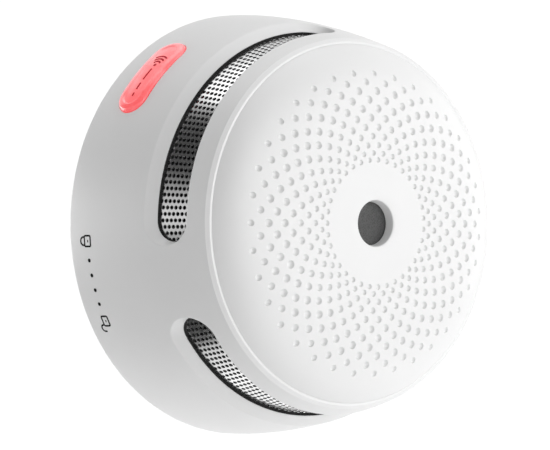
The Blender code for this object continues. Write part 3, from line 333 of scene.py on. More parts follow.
class Skin:
    """Closed mesh gathered from patches in the alarm's own frame, each with its own exact normals."""

    def __init__(self):
        self.points = []
        self.normals = []
        self.faces = []
        self.count = 0

    def add(self, points, normals, faces):
        """Add a patch. Faces are rows of point indices, and each is turned to agree with its normals."""
        points = np.asarray(points, float).reshape(-1, 3)
        normals = np.asarray(normals, float).reshape(-1, 3)
        faces = np.array(faces, int)
        corners = points[faces]
        facing = np.cross(corners, np.roll(corners, -1, axis=1)).sum(axis=1)
        wrong = (facing * normals[faces].mean(axis=1)).sum(axis=1) < 0.0
        faces[wrong] = faces[wrong, ::-1]
        self.points.append(points)
        self.normals.append(normals)
        self.faces += (faces + self.count).tolist()
        self.count += len(points)

    def grid(self, points, normals):
        """Add a grid of quads from an array of rows of points. The rows close on themselves."""
        rows, across = points.shape[:2]
        index = np.arange(rows * across).reshape(rows, across)
        near = np.roll(index, -1, axis=0)
        quads = np.stack([index[:, :-1], index[:, 1:], near[:, 1:], near[:, :-1]], -1).reshape(-1, 4)
        self.add(points, normals, quads)

    def turn(self, profile, steps=STEPS_ROUND, place=None, first=FIRST_ANGLE):
        """Add a profile of (radius, z, normal radius, normal z) turned about z."""
        profile = np.array(profile)
        angle = math.radians(first) + np.arange(steps)[:, None] * math.tau / steps
        points = around(angle, profile[None, :, 0], profile[None, :, 1])
        normals = around(angle, profile[None, :, 2], profile[None, :, 3])
        if place is not None:
            points, normals = carried(place, points, normals)
        self.grid(points, normals)

    def turn_corners(self, corners, steps=STEPS_ROUND, place=None, first=FIRST_ANGLE):
        """Add the straight stretches between profile corners, turned about z."""
        for start, end in zip(corners, corners[1:]):
            self.turn(straight(start, end), steps, place, first)

    def strip(self, first, second, away):
        """Add a band between two closed loops. Its normals point away from the given directions."""
        along = np.roll(first, -1, axis=0) - np.roll(first, 1, axis=0)
        normals = unit(np.cross(along, second - first))
        normals[(normals * away).sum(axis=1) > 0.0] *= -1.0
        self.grid(np.stack([first, second], 1), np.stack([normals, normals], 1))
        return normals

    def blend(self, first, corner, second, first_normal, second_normal, steps=4):
        """Add a rounded edge between two closed loops that meet at a corner loop."""
        share = np.linspace(0.0, 1.0, steps + 1)[None, :, None]
        first, corner, second = first[:, None], corner[:, None], second[:, None]
        points = (1 - share) ** 2 * first + 2 * share * (1 - share) * corner + share ** 2 * second
        normals = unit((1 - share) * first_normal[:, None] + share * second_normal[:, None])
        self.grid(points, normals)

    def box(self, x, y, z, place):
        """Add a block between the low and high value of each pair."""
        limits = np.array((x, y, z))
        for axis in range(3):
            first, second = (other for other in range(3) if other != axis)
            for side in (0, 1):
                corners, normals = np.zeros((4, 3)), np.zeros((4, 3))
                corners[:, axis] = limits[axis, side]
                corners[:, first] = limits[first, [0, 1, 1, 0]]
                corners[:, second] = limits[second, [0, 0, 1, 1]]
                normals[:, axis] = 2.0 * side - 1.0
                self.add(*carried(place, corners, normals), [[0, 1, 2, 3]])

    def make(self, name, body, slot, finish=None):
        """Close the patches into one object that rides on a body, in its slot's finish or another."""
        points = np.concatenate(self.points)[:, [0, 2, 1]] * (1.0, -1.0, 1.0)
        normals = np.concatenate(self.normals)[:, [0, 2, 1]] * (1.0, -1.0, 1.0)
        mesh = bpy.data.meshes.new(name)
        mesh.from_pydata(points, [], self.faces, shade_flat=False)
        corner_points = [index for face in self.faces for index in face]
        exact = mesh.attributes.new("exact_normal", "FLOAT_VECTOR", "CORNER")
        exact.data.foreach_set("vector", normals[corner_points].astype(np.float32).ravel())
        bm = bmesh.new()
        bm.from_mesh(mesh)
        bmesh.ops.remove_doubles(bm, verts=bm.verts, dist=MERGE)
        bm.to_mesh(mesh)
        bm.free()
        values = np.empty(len(mesh.loops) * 3, np.float32)
        mesh.attributes["exact_normal"].data.foreach_get("vector", values)
        mesh.attributes.remove(mesh.attributes["exact_normal"])
        mesh.normals_split_custom_set(values.reshape(-1, 3).tolist())
        mesh.materials.append(FINISHES[finish or slot])
        made = bpy.data.objects.new(name, mesh)
        bpy.context.scene.collection.objects.link(made)
        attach(made, body)
        return made


def straight(start, end, steps=1):
    """Straight stretch of a profile, with the outside on its right."""
    run_r, run_z = end[0] - start[0], end[1] - start[1]
    length = math.hypot(run_r, run_z)
    return [(start[0] + run_r * t, start[1] + run_z * t, run_z / length, -run_r / length)
            for t in np.linspace(0.0, 1.0, steps + 1)]


def bent(start, corner, end, steps=5):
    """Rounded corner of a profile, with the outside on its right."""
    out = []
    for t in np.linspace(0.0, 1.0, steps + 1):
        radius, z = ((1 - t) ** 2 * start[i] + 2 * t * (1 - t) * corner[i] + t * t * end[i] for i in (0, 1))
        run_r, run_z = ((1 - t) * (corner[i] - start[i]) + t * (end[i] - corner[i]) for i in (0, 1))
        length = math.hypot(run_r, run_z)
        out.append((radius, z, run_z / length, -run_r / length))
    return out


def inside(points, loop):
    """Which points lie inside a closed loop, both in one plane."""
    x, y = points[:, 0, None], points[:, 1, None]
    x0, y0 = loop[:, 0], loop[:, 1]
    x1, y1 = np.roll(x0, -1), np.roll(y0, -1)
    crosses = (y0 > y) != (y1 > y)
    rise = np.where(y1 == y0, 1.0, y1 - y0)
    return (crosses & (x < x0 + (y - y0) * (x1 - x0) / rise)).sum(axis=1) % 2 == 1


def triangulate(outline, holes, fill, clear):
    """Triangles inside an outline and outside its holes, in millimetres, with loose points to fill."""
    for hole in holes:
        near = np.hypot(fill[:, None, 0] - hole[None, :, 0], fill[:, None, 1] - hole[None, :, 1]).min(axis=1)
        fill = fill[(near > clear) & ~inside(fill, hole)]
    edges, start = [], 0
    for loop in [outline, *holes]:
        edges += [(start + i, start + (i + 1) % len(loop)) for i in range(len(loop))]
        start += len(loop)
    corners = np.concatenate([outline, *holes, fill])
    placed, _, faces, *_ = delaunay_2d_cdt([Vector(p) for p in corners.tolist()], edges, [], 0, 1e-6)
    placed, faces = np.array([p[:] for p in placed]), np.array(faces)
    middles = placed[faces].mean(axis=1)
    for hole in holes:
        kept = ~inside(middles, hole)
        faces, middles = faces[kept], middles[kept]
    return placed, faces


def stadium(length, width, end_steps, side_steps):
    """Closed outline with round ends: points and their outward normals, u along the length."""
    radius = width / 2
    reach = length / 2 - radius
    points, normals = [], []
    for side in (1.0, -1.0):
        for turn in np.radians(np.linspace(-90.0, 90.0, end_steps + 1) + (0.0 if side > 0 else 180.0)):
            normals.append((math.cos(turn), math.sin(turn)))
            points.append((side * reach + radius * normals[-1][0], radius * normals[-1][1]))
        for u in np.linspace(side * reach, -side * reach, side_steps + 1)[1:-1]:
            normals.append((0.0, side))
            points.append((u, side * radius))
    return np.array(points), np.array(normals)


def radial_place(degrees):
    """Frame on the axis whose u runs anticlockwise round the rim, v off the wall, w outward."""
    angle = math.radians(degrees)
    across = Vector((-math.sin(angle), math.cos(angle), 0.0))
    outward = Vector((math.cos(angle), math.sin(angle), 0.0))
    return Matrix((across, Vector((0.0, 0.0, 1.0)), outward)).transposed().to_4x4()


BUTTON_PLACE = radial_place(BUTTON_ANGLE)
BUTTON_TURN = np.array(BUTTON_PLACE.to_3x3())
BUTTON_OUTWARD = BUTTON_TURN @ (0.0, 0.0, 1.0)


# ---------------------------------------------------------------- finishes

def new_group(name, inputs, outputs):
    """Helper on a new shader node group with named float inputs, given with their defaults, and outputs."""
    group = bpy.data.node_groups.new(name, "ShaderNodeTree")
    for label, value in inputs.items():
        socket = group.interface.new_socket(label, in_out="INPUT", socket_type="NodeSocketFloat")
        socket.default_value = value
    for label in outputs:
        group.interface.new_socket(label, in_out="OUTPUT", socket_type="NodeSocketFloat")
    return Nodes(group)


class Nodes:
    """Short way to place and wire shader nodes in one tree."""

    def __init__(self, tree):
        self.tree = tree

    def add(self, kind, inputs=None, **values):
        node = self.tree.nodes.new(kind)
        for label, value in values.items():
            setattr(node, label, value)
        for label, value in (inputs or {}).items():
            self.put(node, label, value)
        return node

    def put(self, node, label, value):
        if isinstance(value, bpy.types.NodeSocket):
            self.tree.links.new(value, node.inputs[label])
        else:
            node.inputs[label].default_value = value

    def math(self, operation, first, second=0.0):
        return self.add("ShaderNodeMath", {0: first, 1: second}, operation=operation).outputs[0]

    def noise(self, where, scale, detail=3.0, rough=0.55):
        inputs = {"Vector": where, "Scale": scale, "Detail": detail, "Roughness": rough}
        return self.add("ShaderNodeTexNoise", inputs).outputs["Fac"]

    def span(self, value, low, high, new_low, new_high):
        inputs = {"Value": value, "From Min": low, "From Max": high, "To Min": new_low, "To Max": new_high}
        return self.add("ShaderNodeMapRange", inputs).outputs["Result"]

    def mix(self, share, first, second):
        node = self.add("ShaderNodeMix", data_type="RGBA")
        self.put(node, 0, share)
        for label, value in ((6, first), (7, second)):
            self.put(node, label, value if isinstance(value, bpy.types.NodeSocket) else (*value, 1.0))
        return node.outputs[2]

    def where(self):
        return self.add("ShaderNodeTexCoord").outputs["Object"]

    def group(self, name, **inputs):
        """Outputs of a shader group, with constants set on its own sockets."""
        node = self.add("ShaderNodeGroup", node_tree=bpy.data.node_groups[name])
        for label, value in inputs.items():
            node.inputs[label.replace("_", " ")].default_value = value
        return node.outputs

    def relief(self, shader, height, strength, distance):
        """Bump the shader's normal by a height."""
        bump = self.add("ShaderNodeBump", {"Strength": strength, "Distance": distance, "Height": height})
        self.put(shader, "Normal", bump.outputs[0])


def moulded_grain():
    """Spark-eroded mould texture with the slow tone changes of moulded plastic."""
    nodes = new_group("Moulded grain", {"Grain per metre": 2600.0, "Roughness": 0.42, "Spread": 0.08},
                      ("Height", "Tone", "Roughness"))
    given = nodes.add("NodeGroupInput")
    where = nodes.where()
    fine = nodes.noise(where, given.outputs["Grain per metre"], 2.0, 0.6)
    slow = nodes.noise(where, 38.0, 4.0, 0.6)
    streak = nodes.noise(where, 240.0, 3.0, 0.5)
    shift = nodes.math("MULTIPLY", nodes.math("SUBTRACT", streak, 0.5), given.outputs["Spread"])
    rough = nodes.math("ADD", given.outputs["Roughness"], shift)
    nodes.add("NodeGroupOutput", {"Height": fine, "Tone": slow, "Roughness": rough})


def edge_wear():
    """Mask of rubbed edges: convex corners, broken up by noise."""
    nodes = new_group("Edge wear", {"Amount": 0.5}, ("Mask",))
    given = nodes.add("NodeGroupInput")
    where = nodes.where()
    point = nodes.add("ShaderNodeNewGeometry").outputs["Pointiness"]
    convex = nodes.span(point, 0.52, 0.60, 0.0, 1.0)
    broken = nodes.span(nodes.noise(where, 420.0, 4.0, 0.65), 0.42, 0.62, 0.0, 1.0)
    mask = nodes.math("MULTIPLY", nodes.math("MULTIPLY", convex, broken), given.outputs["Amount"])
    nodes.add("NodeGroupOutput", {"Mask": mask})


def settled_dust():
    """Mask of fine dust on surfaces that face up."""
    nodes = new_group("Settled dust", {"Amount": 0.2}, ("Mask",))
    given = nodes.add("NodeGroupInput")
    place = nodes.add("ShaderNodeTexCoord")
    up = nodes.add("ShaderNodeSeparateXYZ", {0: place.outputs["Normal"]}).outputs["Z"]
    facing = nodes.span(up, 0.35, 1.0, 0.0, 1.0)
    specks = nodes.span(nodes.noise(place.outputs["Object"], 900.0, 5.0, 0.7), 0.5, 0.75, 0.2, 1.0)
    mask = nodes.math("MULTIPLY", nodes.math("MULTIPLY", facing, specks), given.outputs["Amount"])
    nodes.add("NodeGroupOutput", {"Mask": mask})


def brushed_lines():
    """Fine drawn lines of rolled or turned metal, stretched along one axis."""
    nodes = new_group("Brushed lines", {"Stretch x": 1.0, "Stretch y": 1.0, "Stretch z": 1.0},
                      ("Height", "Tone"))
    given = nodes.add("NodeGroupInput").outputs
    where = nodes.where()
    stretch = nodes.add("ShaderNodeCombineXYZ", {axis: given[f"Stretch {axis.lower()}"] for axis in "XYZ"})
    stretched = nodes.add("ShaderNodeVectorMath", {0: where, 1: stretch.outputs[0]}, operation="MULTIPLY")
    lines = nodes.noise(stretched.outputs[0], 2200.0, 3.0, 0.6)
    nodes.add("NodeGroupOutput", {"Height": lines, "Tone": nodes.noise(where, 150.0, 4.0, 0.6)})


def open_cells():
    """Cells of foam, the threads of a gauze or the nap of felt."""
    nodes = new_group("Open cells", {"Cells per metre": 1600.0}, ("Hollow",))
    given = nodes.add("NodeGroupInput").outputs
    cells = nodes.add("ShaderNodeTexVoronoi", {"Vector": nodes.where(), "Scale": given["Cells per metre"]})
    nodes.add("NodeGroupOutput", {"Hollow": nodes.span(cells.outputs["Distance"], 0.0, 0.6, 0.0, 1.0)})


def sleeve_wear():
    """Scuffs, uneven gloss, fine relief and the wavy edge of a printed shrink sleeve."""
    nodes = new_group("Sleeve wear", {"Wave": 0.1 * MM, "Scuffing": 0.25},
                      ("Wave", "Scuff", "Gloss", "Height"))
    given = nodes.add("NodeGroupInput").outputs
    where = nodes.where()
    wave = nodes.math("MULTIPLY", nodes.noise(where, 300.0), given["Wave"])
    scuff = nodes.span(nodes.noise(where, 800.0, 5.0, 0.7), 0.6, 0.75, 0.0, given["Scuffing"])
    nodes.add("NodeGroupOutput", {"Wave": wave, "Scuff": scuff, "Gloss": nodes.noise(where, 350.0),
                                  "Height": nodes.noise(where, 700.0)})


def shader_of(name, **constants):
    """New material, its node helper and its Principled shader with constants set on its own sockets."""
    material = bpy.data.materials.new(name)
    material.use_nodes = True
    shader = material.node_tree.nodes["Principled BSDF"]
    for label, value in constants.items():
        shader.inputs[label.replace("_", " ")].default_value = value
    return material, Nodes(material.node_tree), shader


def plastic_finish(name, colour, roughness, grain=2600.0, bump=0.05, tone=0.03, wear=0.0, dust=0.1,
                   **constants):
    """Moulded plastic: mould grain, slow tone, worn edges and a little dust."""
    material, nodes, shader = shader_of(name, **constants)
    body = nodes.group("Moulded grain", Grain_per_metre=grain, Roughness=roughness)
    darker = [c * (1.0 - tone) for c in colour]
    lighter = [min(c * (1.0 + tone), 1.0) for c in colour]
    base = nodes.mix(nodes.span(body["Tone"], 0.3, 0.7, 0.0, 1.0), darker, lighter)
    if wear:
        rubbed = nodes.group("Edge wear", Amount=wear)
        base = nodes.mix(rubbed["Mask"], base, [c * 0.5 + 0.45 for c in colour])
    base = nodes.mix(nodes.group("Settled dust", Amount=dust)["Mask"], base, DUST_COLOUR)
    nodes.put(shader, "Base Color", base)
    nodes.put(shader, "Roughness", body["Roughness"])
    nodes.relief(shader, body["Height"], bump, 0.02 * MM)
    return material


def button_finish(name, colour):
    """Translucent red plastic with a painted glow: an emission in its outer part stands in for light through
    the plastic, and painted light makes it paler along its rear side and towards the top.
    """
    material = plastic_finish(name, colour, 0.26, bump=0.03, tone=0.06, dust=0.02, Coat_Weight=0.35,
                              Coat_Roughness=0.12, Subsurface_Weight=0.25, Emission_Strength=BUTTON_PAINTED_GLOW)
    shader = material.node_tree.nodes["Principled BSDF"]
    shader.inputs["Subsurface Radius"].default_value = BUTTON_SCATTER
    nodes = Nodes(material.node_tree)
    where = nodes.where()
    along = nodes.add("ShaderNodeSeparateXYZ", {0: where}).outputs
    # Painted light: paler towards the wall side and towards the top of the button, with a little random
    # cloud.
    rear = nodes.span(along["Y"], -BUTTON_Z, -BUTTON_Z + 0.4 * BUTTON_WIDTH, 0.0, 0.7)
    painted_top_light = nodes.span(along["Z"], *PAINTED_GLOW_RISE, 0.0, 0.35)
    cloud = nodes.span(nodes.noise(where, 260.0, 3.0, 0.5), 0.35, 0.7, -0.15, 0.3)
    pale = nodes.math("ADD", nodes.math("ADD", rear, painted_top_light), cloud)
    painted_paleness = nodes.add("ShaderNodeClamp", {"Value": pale}).outputs[0]
    glow = nodes.mix(painted_paleness, *PAINTED_GLOW_COLOURS)
    flat_way = nodes.add("ShaderNodeVectorMath", {0: where, 1: (1.0, 0.0, 1.0)}, operation="MULTIPLY")
    reach = nodes.add("ShaderNodeVectorMath", {0: flat_way.outputs[0]}, operation="LENGTH").outputs["Value"]
    starts, full = (BUTTON_INNER_RADIUS + depth for depth in PAINTED_GLOW_DEPTHS)
    outer = nodes.span(reach, starts, full, 0.0, 1.0)
    nodes.put(shader, "Emission Color", nodes.mix(outer, (0.0, 0.0, 0.0), glow))
    return material


def metal_finish(name, colour, roughness, stretch, wear=0.3, spread=0.1, bump=0.15):
    """Rolled or plated metal with drawn lines and a little tarnish."""
    material, nodes, shader = shader_of(name, Metallic=1.0)
    lines = nodes.group("Brushed lines", **{f"Stretch_{axis}": value for axis, value in zip("xyz", stretch)})
    tarnish = nodes.span(lines["Tone"], 0.35, 0.7, 0.0, 1.0)
    base = nodes.mix(tarnish, colour, [c * 0.86 for c in colour])
    rubbed = nodes.group("Edge wear", Amount=wear)
    base = nodes.mix(rubbed["Mask"], base, [min(c * 1.2, 1.0) for c in colour])
    nodes.put(shader, "Base Color", base)
    rough = nodes.span(lines["Height"], 0.3, 0.7, roughness - spread, roughness + spread)
    nodes.put(shader, "Roughness", rough)
    nodes.relief(shader, lines["Height"], bump, 0.01 * MM)
    return material


def board_finish(name):
    """Solder mask over copper tracks, with round tinned pads."""
    material, nodes, shader = shader_of(name, Coat_Weight=0.4)
    where = nodes.where()
    cells = nodes.add("ShaderNodeTexVoronoi", {"Vector": where, "Scale": 260.0}, distance="MANHATTAN")
    lines = nodes.add("ShaderNodeTexVoronoi", {"Vector": where, "Scale": 150.0}, feature="DISTANCE_TO_EDGE")
    track = nodes.span(lines.outputs["Distance"], 0.05, 0.07, 1.0, 0.0)
    pad = nodes.span(cells.outputs["Distance"], 0.16, 0.2, 1.0, 0.0)
    base = nodes.mix(track, (0.012, 0.10, 0.035), (0.03, 0.22, 0.07))
    base = nodes.mix(pad, base, (0.62, 0.60, 0.56))
    nodes.put(shader, "Base Color", base)
    nodes.put(shader, "Roughness", nodes.span(nodes.noise(where, 500.0), 0.3, 0.7, 0.28, 0.42))
    nodes.relief(shader, track, 0.3, 0.05 * MM)
    return material


def foam_finish(name, colour, scale, roughness):
    """Foam, gauze or felt: dark hollows between paler walls or threads."""
    material, nodes, shader = shader_of(name, Specular_IOR_Level=0.3)
    hollow = nodes.group("Open cells", Cells_per_metre=scale)["Hollow"]
    nodes.put(shader, "Base Color", nodes.mix(hollow, [c * 0.7 for c in colour], [c * 1.15 for c in colour]))
    nodes.put(shader, "Roughness", nodes.span(hollow, 0.0, 1.0, roughness + 0.06, roughness - 0.04))
    nodes.relief(shader, hollow, 0.5, 0.1 * MM)
    return material


def banded_finish(name, colour, band_colour, edge, high_side, roughness=0.3):
    """Shrink sleeve with a plain band of a second colour past one place along x."""
    material, nodes, shader = shader_of(name, Coat_Weight=0.3)
    wear = nodes.group("Sleeve wear")
    along = nodes.add("ShaderNodeSeparateXYZ", {0: nodes.where()}).outputs["X"]
    order = (0.0, 1.0) if high_side else (1.0, 0.0)
    band = nodes.span(nodes.math("ADD", along, wear["Wave"]), edge, edge + 0.1 * MM, *order)
    base = nodes.mix(band, colour, band_colour)
    nodes.put(shader, "Base Color", nodes.mix(wear["Scuff"], base, [min(c + 0.25, 1.0) for c in colour]))
    nodes.put(shader, "Roughness", nodes.span(wear["Gloss"], 0.3, 0.7, roughness - 0.06, roughness + 0.1))
    nodes.relief(shader, wear["Height"], 0.1, 0.05 * MM)
    return material


def build_finishes(colours):
    """All finishes, keyed by the record's slot names, and the two printing inks."""
    for build in (moulded_grain, edge_wear, settled_dust, brushed_lines, open_cells, sleeve_wear):
        build()
    shell, housing, button, steel, gauze, marks = (
        list(colour) for colour in (colours.shell, colours.housing, colours.button, colours.screen,
                                    colours.gauze, colours.marks))
    battery_edge = span("battery")[0].x + BATTERY_BAND
    capacitor_edge = span("storage_capacitor")[1].x - CAPACITOR_BAND
    print_look = {"grain": 4000.0, "bump": 0.1, "tone": 0.2, "dust": 0.0}
    return {
        "white_plastic": plastic_finish("white shell plastic", shell, 0.40, wear=0.25, tone=0.012, dust=0.05),
        "housing_plastic": plastic_finish("off-white housing plastic", housing, 0.5, grain=1900.0, bump=0.1,
                                          wear=0.4),
        "black_plastic": plastic_finish("black chamber plastic", (0.012, 0.012, 0.013), 0.62, grain=1700.0,
                                        bump=0.12, tone=0.2, wear=0.1, dust=0.04),
        "red_button_plastic": button_finish("red plastic with painted glow", button),
        "screen_steel": metal_finish("perforated screen steel", steel, 0.20, (1.0, 1.0, 0.3), wear=0.1,
                                     spread=0.05, bump=0.06),
        "zinc_steel": metal_finish("zinc-plated steel", (0.66, 0.66, 0.63), 0.36, (1.0, 1.0, 1.0)),
        "spring_steel": metal_finish("nickel-plated spring steel", (0.72, 0.69, 0.63), 0.3, (0.2, 1.0, 1.0)),
        "brass_plate": metal_finish("rolled brass", (0.78, 0.58, 0.25), 0.32, (0.2, 1.0, 1.0)),
        "piezo_ceramic": plastic_finish("silvered ceramic", (0.74, 0.74, 0.70), 0.45, grain=3400.0,
                                        bump=0.15),
        "board_resin": board_finish("green solder mask"),
        "capacitor_sleeve": banded_finish("capacitor sleeve", (0.03, 0.05, 0.16), (0.55, 0.58, 0.62),
                                          capacitor_edge, True),
        "battery_wrap": banded_finish("battery wrap", (0.05, 0.14, 0.38), (0.62, 0.63, 0.65),
                                      battery_edge, False),
        "clear_lens": plastic_finish("clear epoxy", (0.80, 0.76, 0.74), 0.16, bump=0.02,
                                     Transmission_Weight=0.5),
        "dark_lens": plastic_finish("tinted epoxy", (0.06, 0.03, 0.08), 0.14, bump=0.02, Coat_Weight=0.5),
        "foam_rubber": foam_finish("closed-cell foam", (0.014, 0.014, 0.014), 1600.0, 0.9),
        "dark_gauze": foam_finish("acoustic gauze", gauze, 2600.0, 0.75),
        # The red print has a painted glow: a faint red emission that makes it look redder than the lamps
        # alone would.
        "red_ink": plastic_finish("dark red print with painted glow", (0.30, 0.004, 0.010), 0.6, **print_look,
                                  Specular_IOR_Level=0.2, Emission_Color=(1.0, 0.01, 0.03, 1.0),
                                  Emission_Strength=0.2),
        "ink": plastic_finish("printed ink", marks, 0.7, **print_look, Specular_IOR_Level=0.1),
    }


SLOT_OF_NODE = {
    "mounting_bracket": "white_plastic", "rear_housing": "housing_plastic", "battery_door": "housing_plastic",
    "chamber_base": "black_plastic", "chamber_cap": "black_plastic", "sounder_cup": "black_plastic",
    "control_chip": "black_plastic", "sounder_coil": "black_plastic", "switch_body": "black_plastic",
    "circuit_board": "board_resin", "storage_capacitor": "capacitor_sleeve", "battery": "battery_wrap",
    "infrared_led": "clear_lens", "status_led_1": "clear_lens", "status_led_2": "clear_lens",
    "switch_plunger": "clear_lens", "photodiode": "dark_lens", "piezo_plate": "brass_plate",
    "piezo_ceramic": "piezo_ceramic", "sounder_seal": "foam_rubber", "contact_positive": "spring_steel",
    "contact_negative": "spring_steel", "housing_screw_1": "zinc_steel", "housing_screw_2": "zinc_steel",
    "housing_screw_3": "zinc_steel", "board_screw_1": "zinc_steel", "board_screw_2": "zinc_steel",
    "board_screw_3": "zinc_steel",
}
FINISHES = {}


# ---------------------------------------------------------------- settings

def length(name, description, default, low, high):
    return FloatProperty(name=name, description=description, default=default, min=low, max=high,
                         unit="LENGTH", precision=5)


def colour(name, description, default):
    return FloatVectorProperty(name=name, description=description, default=default, min=0.0, max=1.0,
                               subtype="COLOR")


class SmokeAlarmSizes(PropertyGroup):
    """Sizes of the visible shapes."""
    dimple_outer_ring: length("Outer Dimple Ring", "Radius of the outermost ring of dimples", 34.7 * MM,
                              0.02, 0.038)
    dimples_per_ring: IntProperty(name="Dimples per Ring", description="Dimples in each ring", default=35,
                                  min=8, max=48)
    dimple_depth: FloatProperty(name="Dimple Depth", description="Depth as a share of the dimple's width",
                                default=0.42, min=0.05, max=0.5, subtype="FACTOR")
    hole_pitch: length("Hole Pitch", "Spacing of the screen's holes off the wall", 1.176 * MM, 0.001, 0.0012)
    hole_width: length("Hole Width", "Diameter of the screen's holes", 0.96 * MM, 0.0004, 0.001)
    button_proud: length("Button Height", "How far the test button stands off the wall", 0.9 * MM, 0.0, 0.002)
    button_dish: length("Button Dish", "Depth of the dished middle of the test button", 0.3 * MM, 0.0, 0.001)


class SmokeAlarmColours(PropertyGroup):
    """Colours of the finishes."""
    shell: colour("Shell", "Colour of the casing", (0.82, 0.82, 0.82))
    housing: colour("Housing", "Colour of the rear housing", (0.72, 0.72, 0.70))
    button: colour("Button", "Colour of the test button", (0.90, 0.17, 0.18))
    screen: colour("Screen", "Colour of the screen's metal", (0.66, 0.66, 0.66))
    gauze: colour("Gauze", "Colour of the gauze in the sound port", (0.085, 0.085, 0.085))
    marks: colour("Marks", "Colour of the printed lock marks", (0.008, 0.008, 0.008))


class SmokeAlarmStage(PropertyGroup):
    """Floor, light and camera."""
    floor_drop: length("Floor Drop", "Depth of the floor below the alarm", 0.45, 0.06, 2.0)
    ambient: FloatProperty(name="Ambient", description="Brightness of the soft light from all round",
                           default=0.28, min=0.0, max=3.0)
    camera_distance: length("Camera Distance", "Distance from the face to the camera", 0.6246, 0.2, 5.0)
    camera_side: FloatProperty(name="Camera Side", description="Angle of the camera left of the face's axis",
                               default=math.radians(40.83), subtype="ANGLE", unit="ROTATION")


# ---------------------------------------------------------------- casing

def slot_loops(centre):
    """Closed loops of one smoke slot, from the rim on the wall to the inner surface, with their normals."""
    length = math.radians(SLOT_SPAN) * SLOT_MEAN_RADIUS
    points, outward = stadium(length, SLOT_WIDTH, *SLOT_STEPS)
    u, v = points.T
    nu, nv = outward.T
    neck = wall_radius(SLOT_MID_Z + v) - SLOT_SCOOP_DEPTH
    lean = ((1.0 - nv) / 2.0) ** SLOT_SCOOP_POWER

    def loop(flare, radius):
        angle = math.radians(centre) + (u + flare * nu) / SLOT_MEAN_RADIUS
        z = SLOT_MID_Z + v + flare * nv
        return angle, wall_radius(z) if radius is None else radius, z

    flare = np.zeros_like(u)
    for _ in range(12):
        flare = lean * (wall_radius(SLOT_MID_Z + v + flare * nv) - neck)
    rim = loop(flare + EDGE_SOFTENING, None)
    corner = loop(flare, None)
    lower = corner[1] - EDGE_SOFTENING
    scoop = loop(lean * (lower - neck), lower)
    bottom = loop(0.0 * u, neck)
    inner = loop(0.0 * u, wall_radius(SLOT_MID_Z + v) - WALL_THICKNESS)
    angle = corner[0]
    away = np.stack([-np.sin(angle) * nu, np.cos(angle) * nu, nv], -1)
    return rim, corner, scoop, bottom, inner, away


def wall_normals(angle, z):
    slope = wall_slope(z)
    return around(angle, 1.0, slope) / np.sqrt(1.0 + slope ** 2)[:, None]


def flat(angle, z):
    """Unrolled place of points on the wall, in millimetres."""
    return np.stack([angle * FLAT_RADIUS, z], -1) / MM


def wall_sheet(skin, low, high, rows, holes, inset, side):
    """Unrolled wall between two heights with holes; side is 1 for the outer face and -1 for the inner."""
    angles = math.radians(FIRST_ANGLE) + np.arange(STEPS_ROUND + 1) * math.tau / STEPS_ROUND
    heights = np.linspace(low, high, rows + 1)
    bottom = flat(angles, np.full_like(angles, low))
    top = flat(angles, np.full_like(angles, high))[::-1]
    right = flat(np.full(rows - 1, angles[-1]), heights[1:-1])
    left = flat(np.full(rows - 1, angles[0]), heights[1:-1])[::-1]
    fill = np.stack(np.meshgrid(angles[1:-1] * FLAT_RADIUS, heights[1:-1]), -1).reshape(-1, 2) / MM
    placed, faces = triangulate(np.concatenate([bottom, right, top, left]), holes, fill, SHEET_CLEAR)
    angle, z = placed[:, 0] * MM / FLAT_RADIUS, placed[:, 1] * MM
    skin.add(around(angle, wall_radius(z) - inset, z), side * wall_normals(angle, z), faces)


def button_hole(gap, soften):
    """Loops of the opening for the test button, from rim to inner surface, and their outward directions."""
    points, outward = stadium(BUTTON_LENGTH + 2 * gap, BUTTON_WIDTH + 2 * gap, *BUTTON_HOLE_STEPS)
    turn = math.radians(BUTTON_ANGLE)

    def on(outset, inset):
        u, v = (points + outset * outward).T
        z = BUTTON_Z + v
        radius = wall_radius(z) - inset
        return turn + np.arcsin(u / radius), radius, z

    rim, corner = on(soften, 0.0), on(0.0, 0.0)
    across = BUTTON_TURN @ np.vstack([outward.T, np.zeros(len(outward))])
    return rim, corner, on(0.0, soften), on(0.0, WALL_THICKNESS), across.T


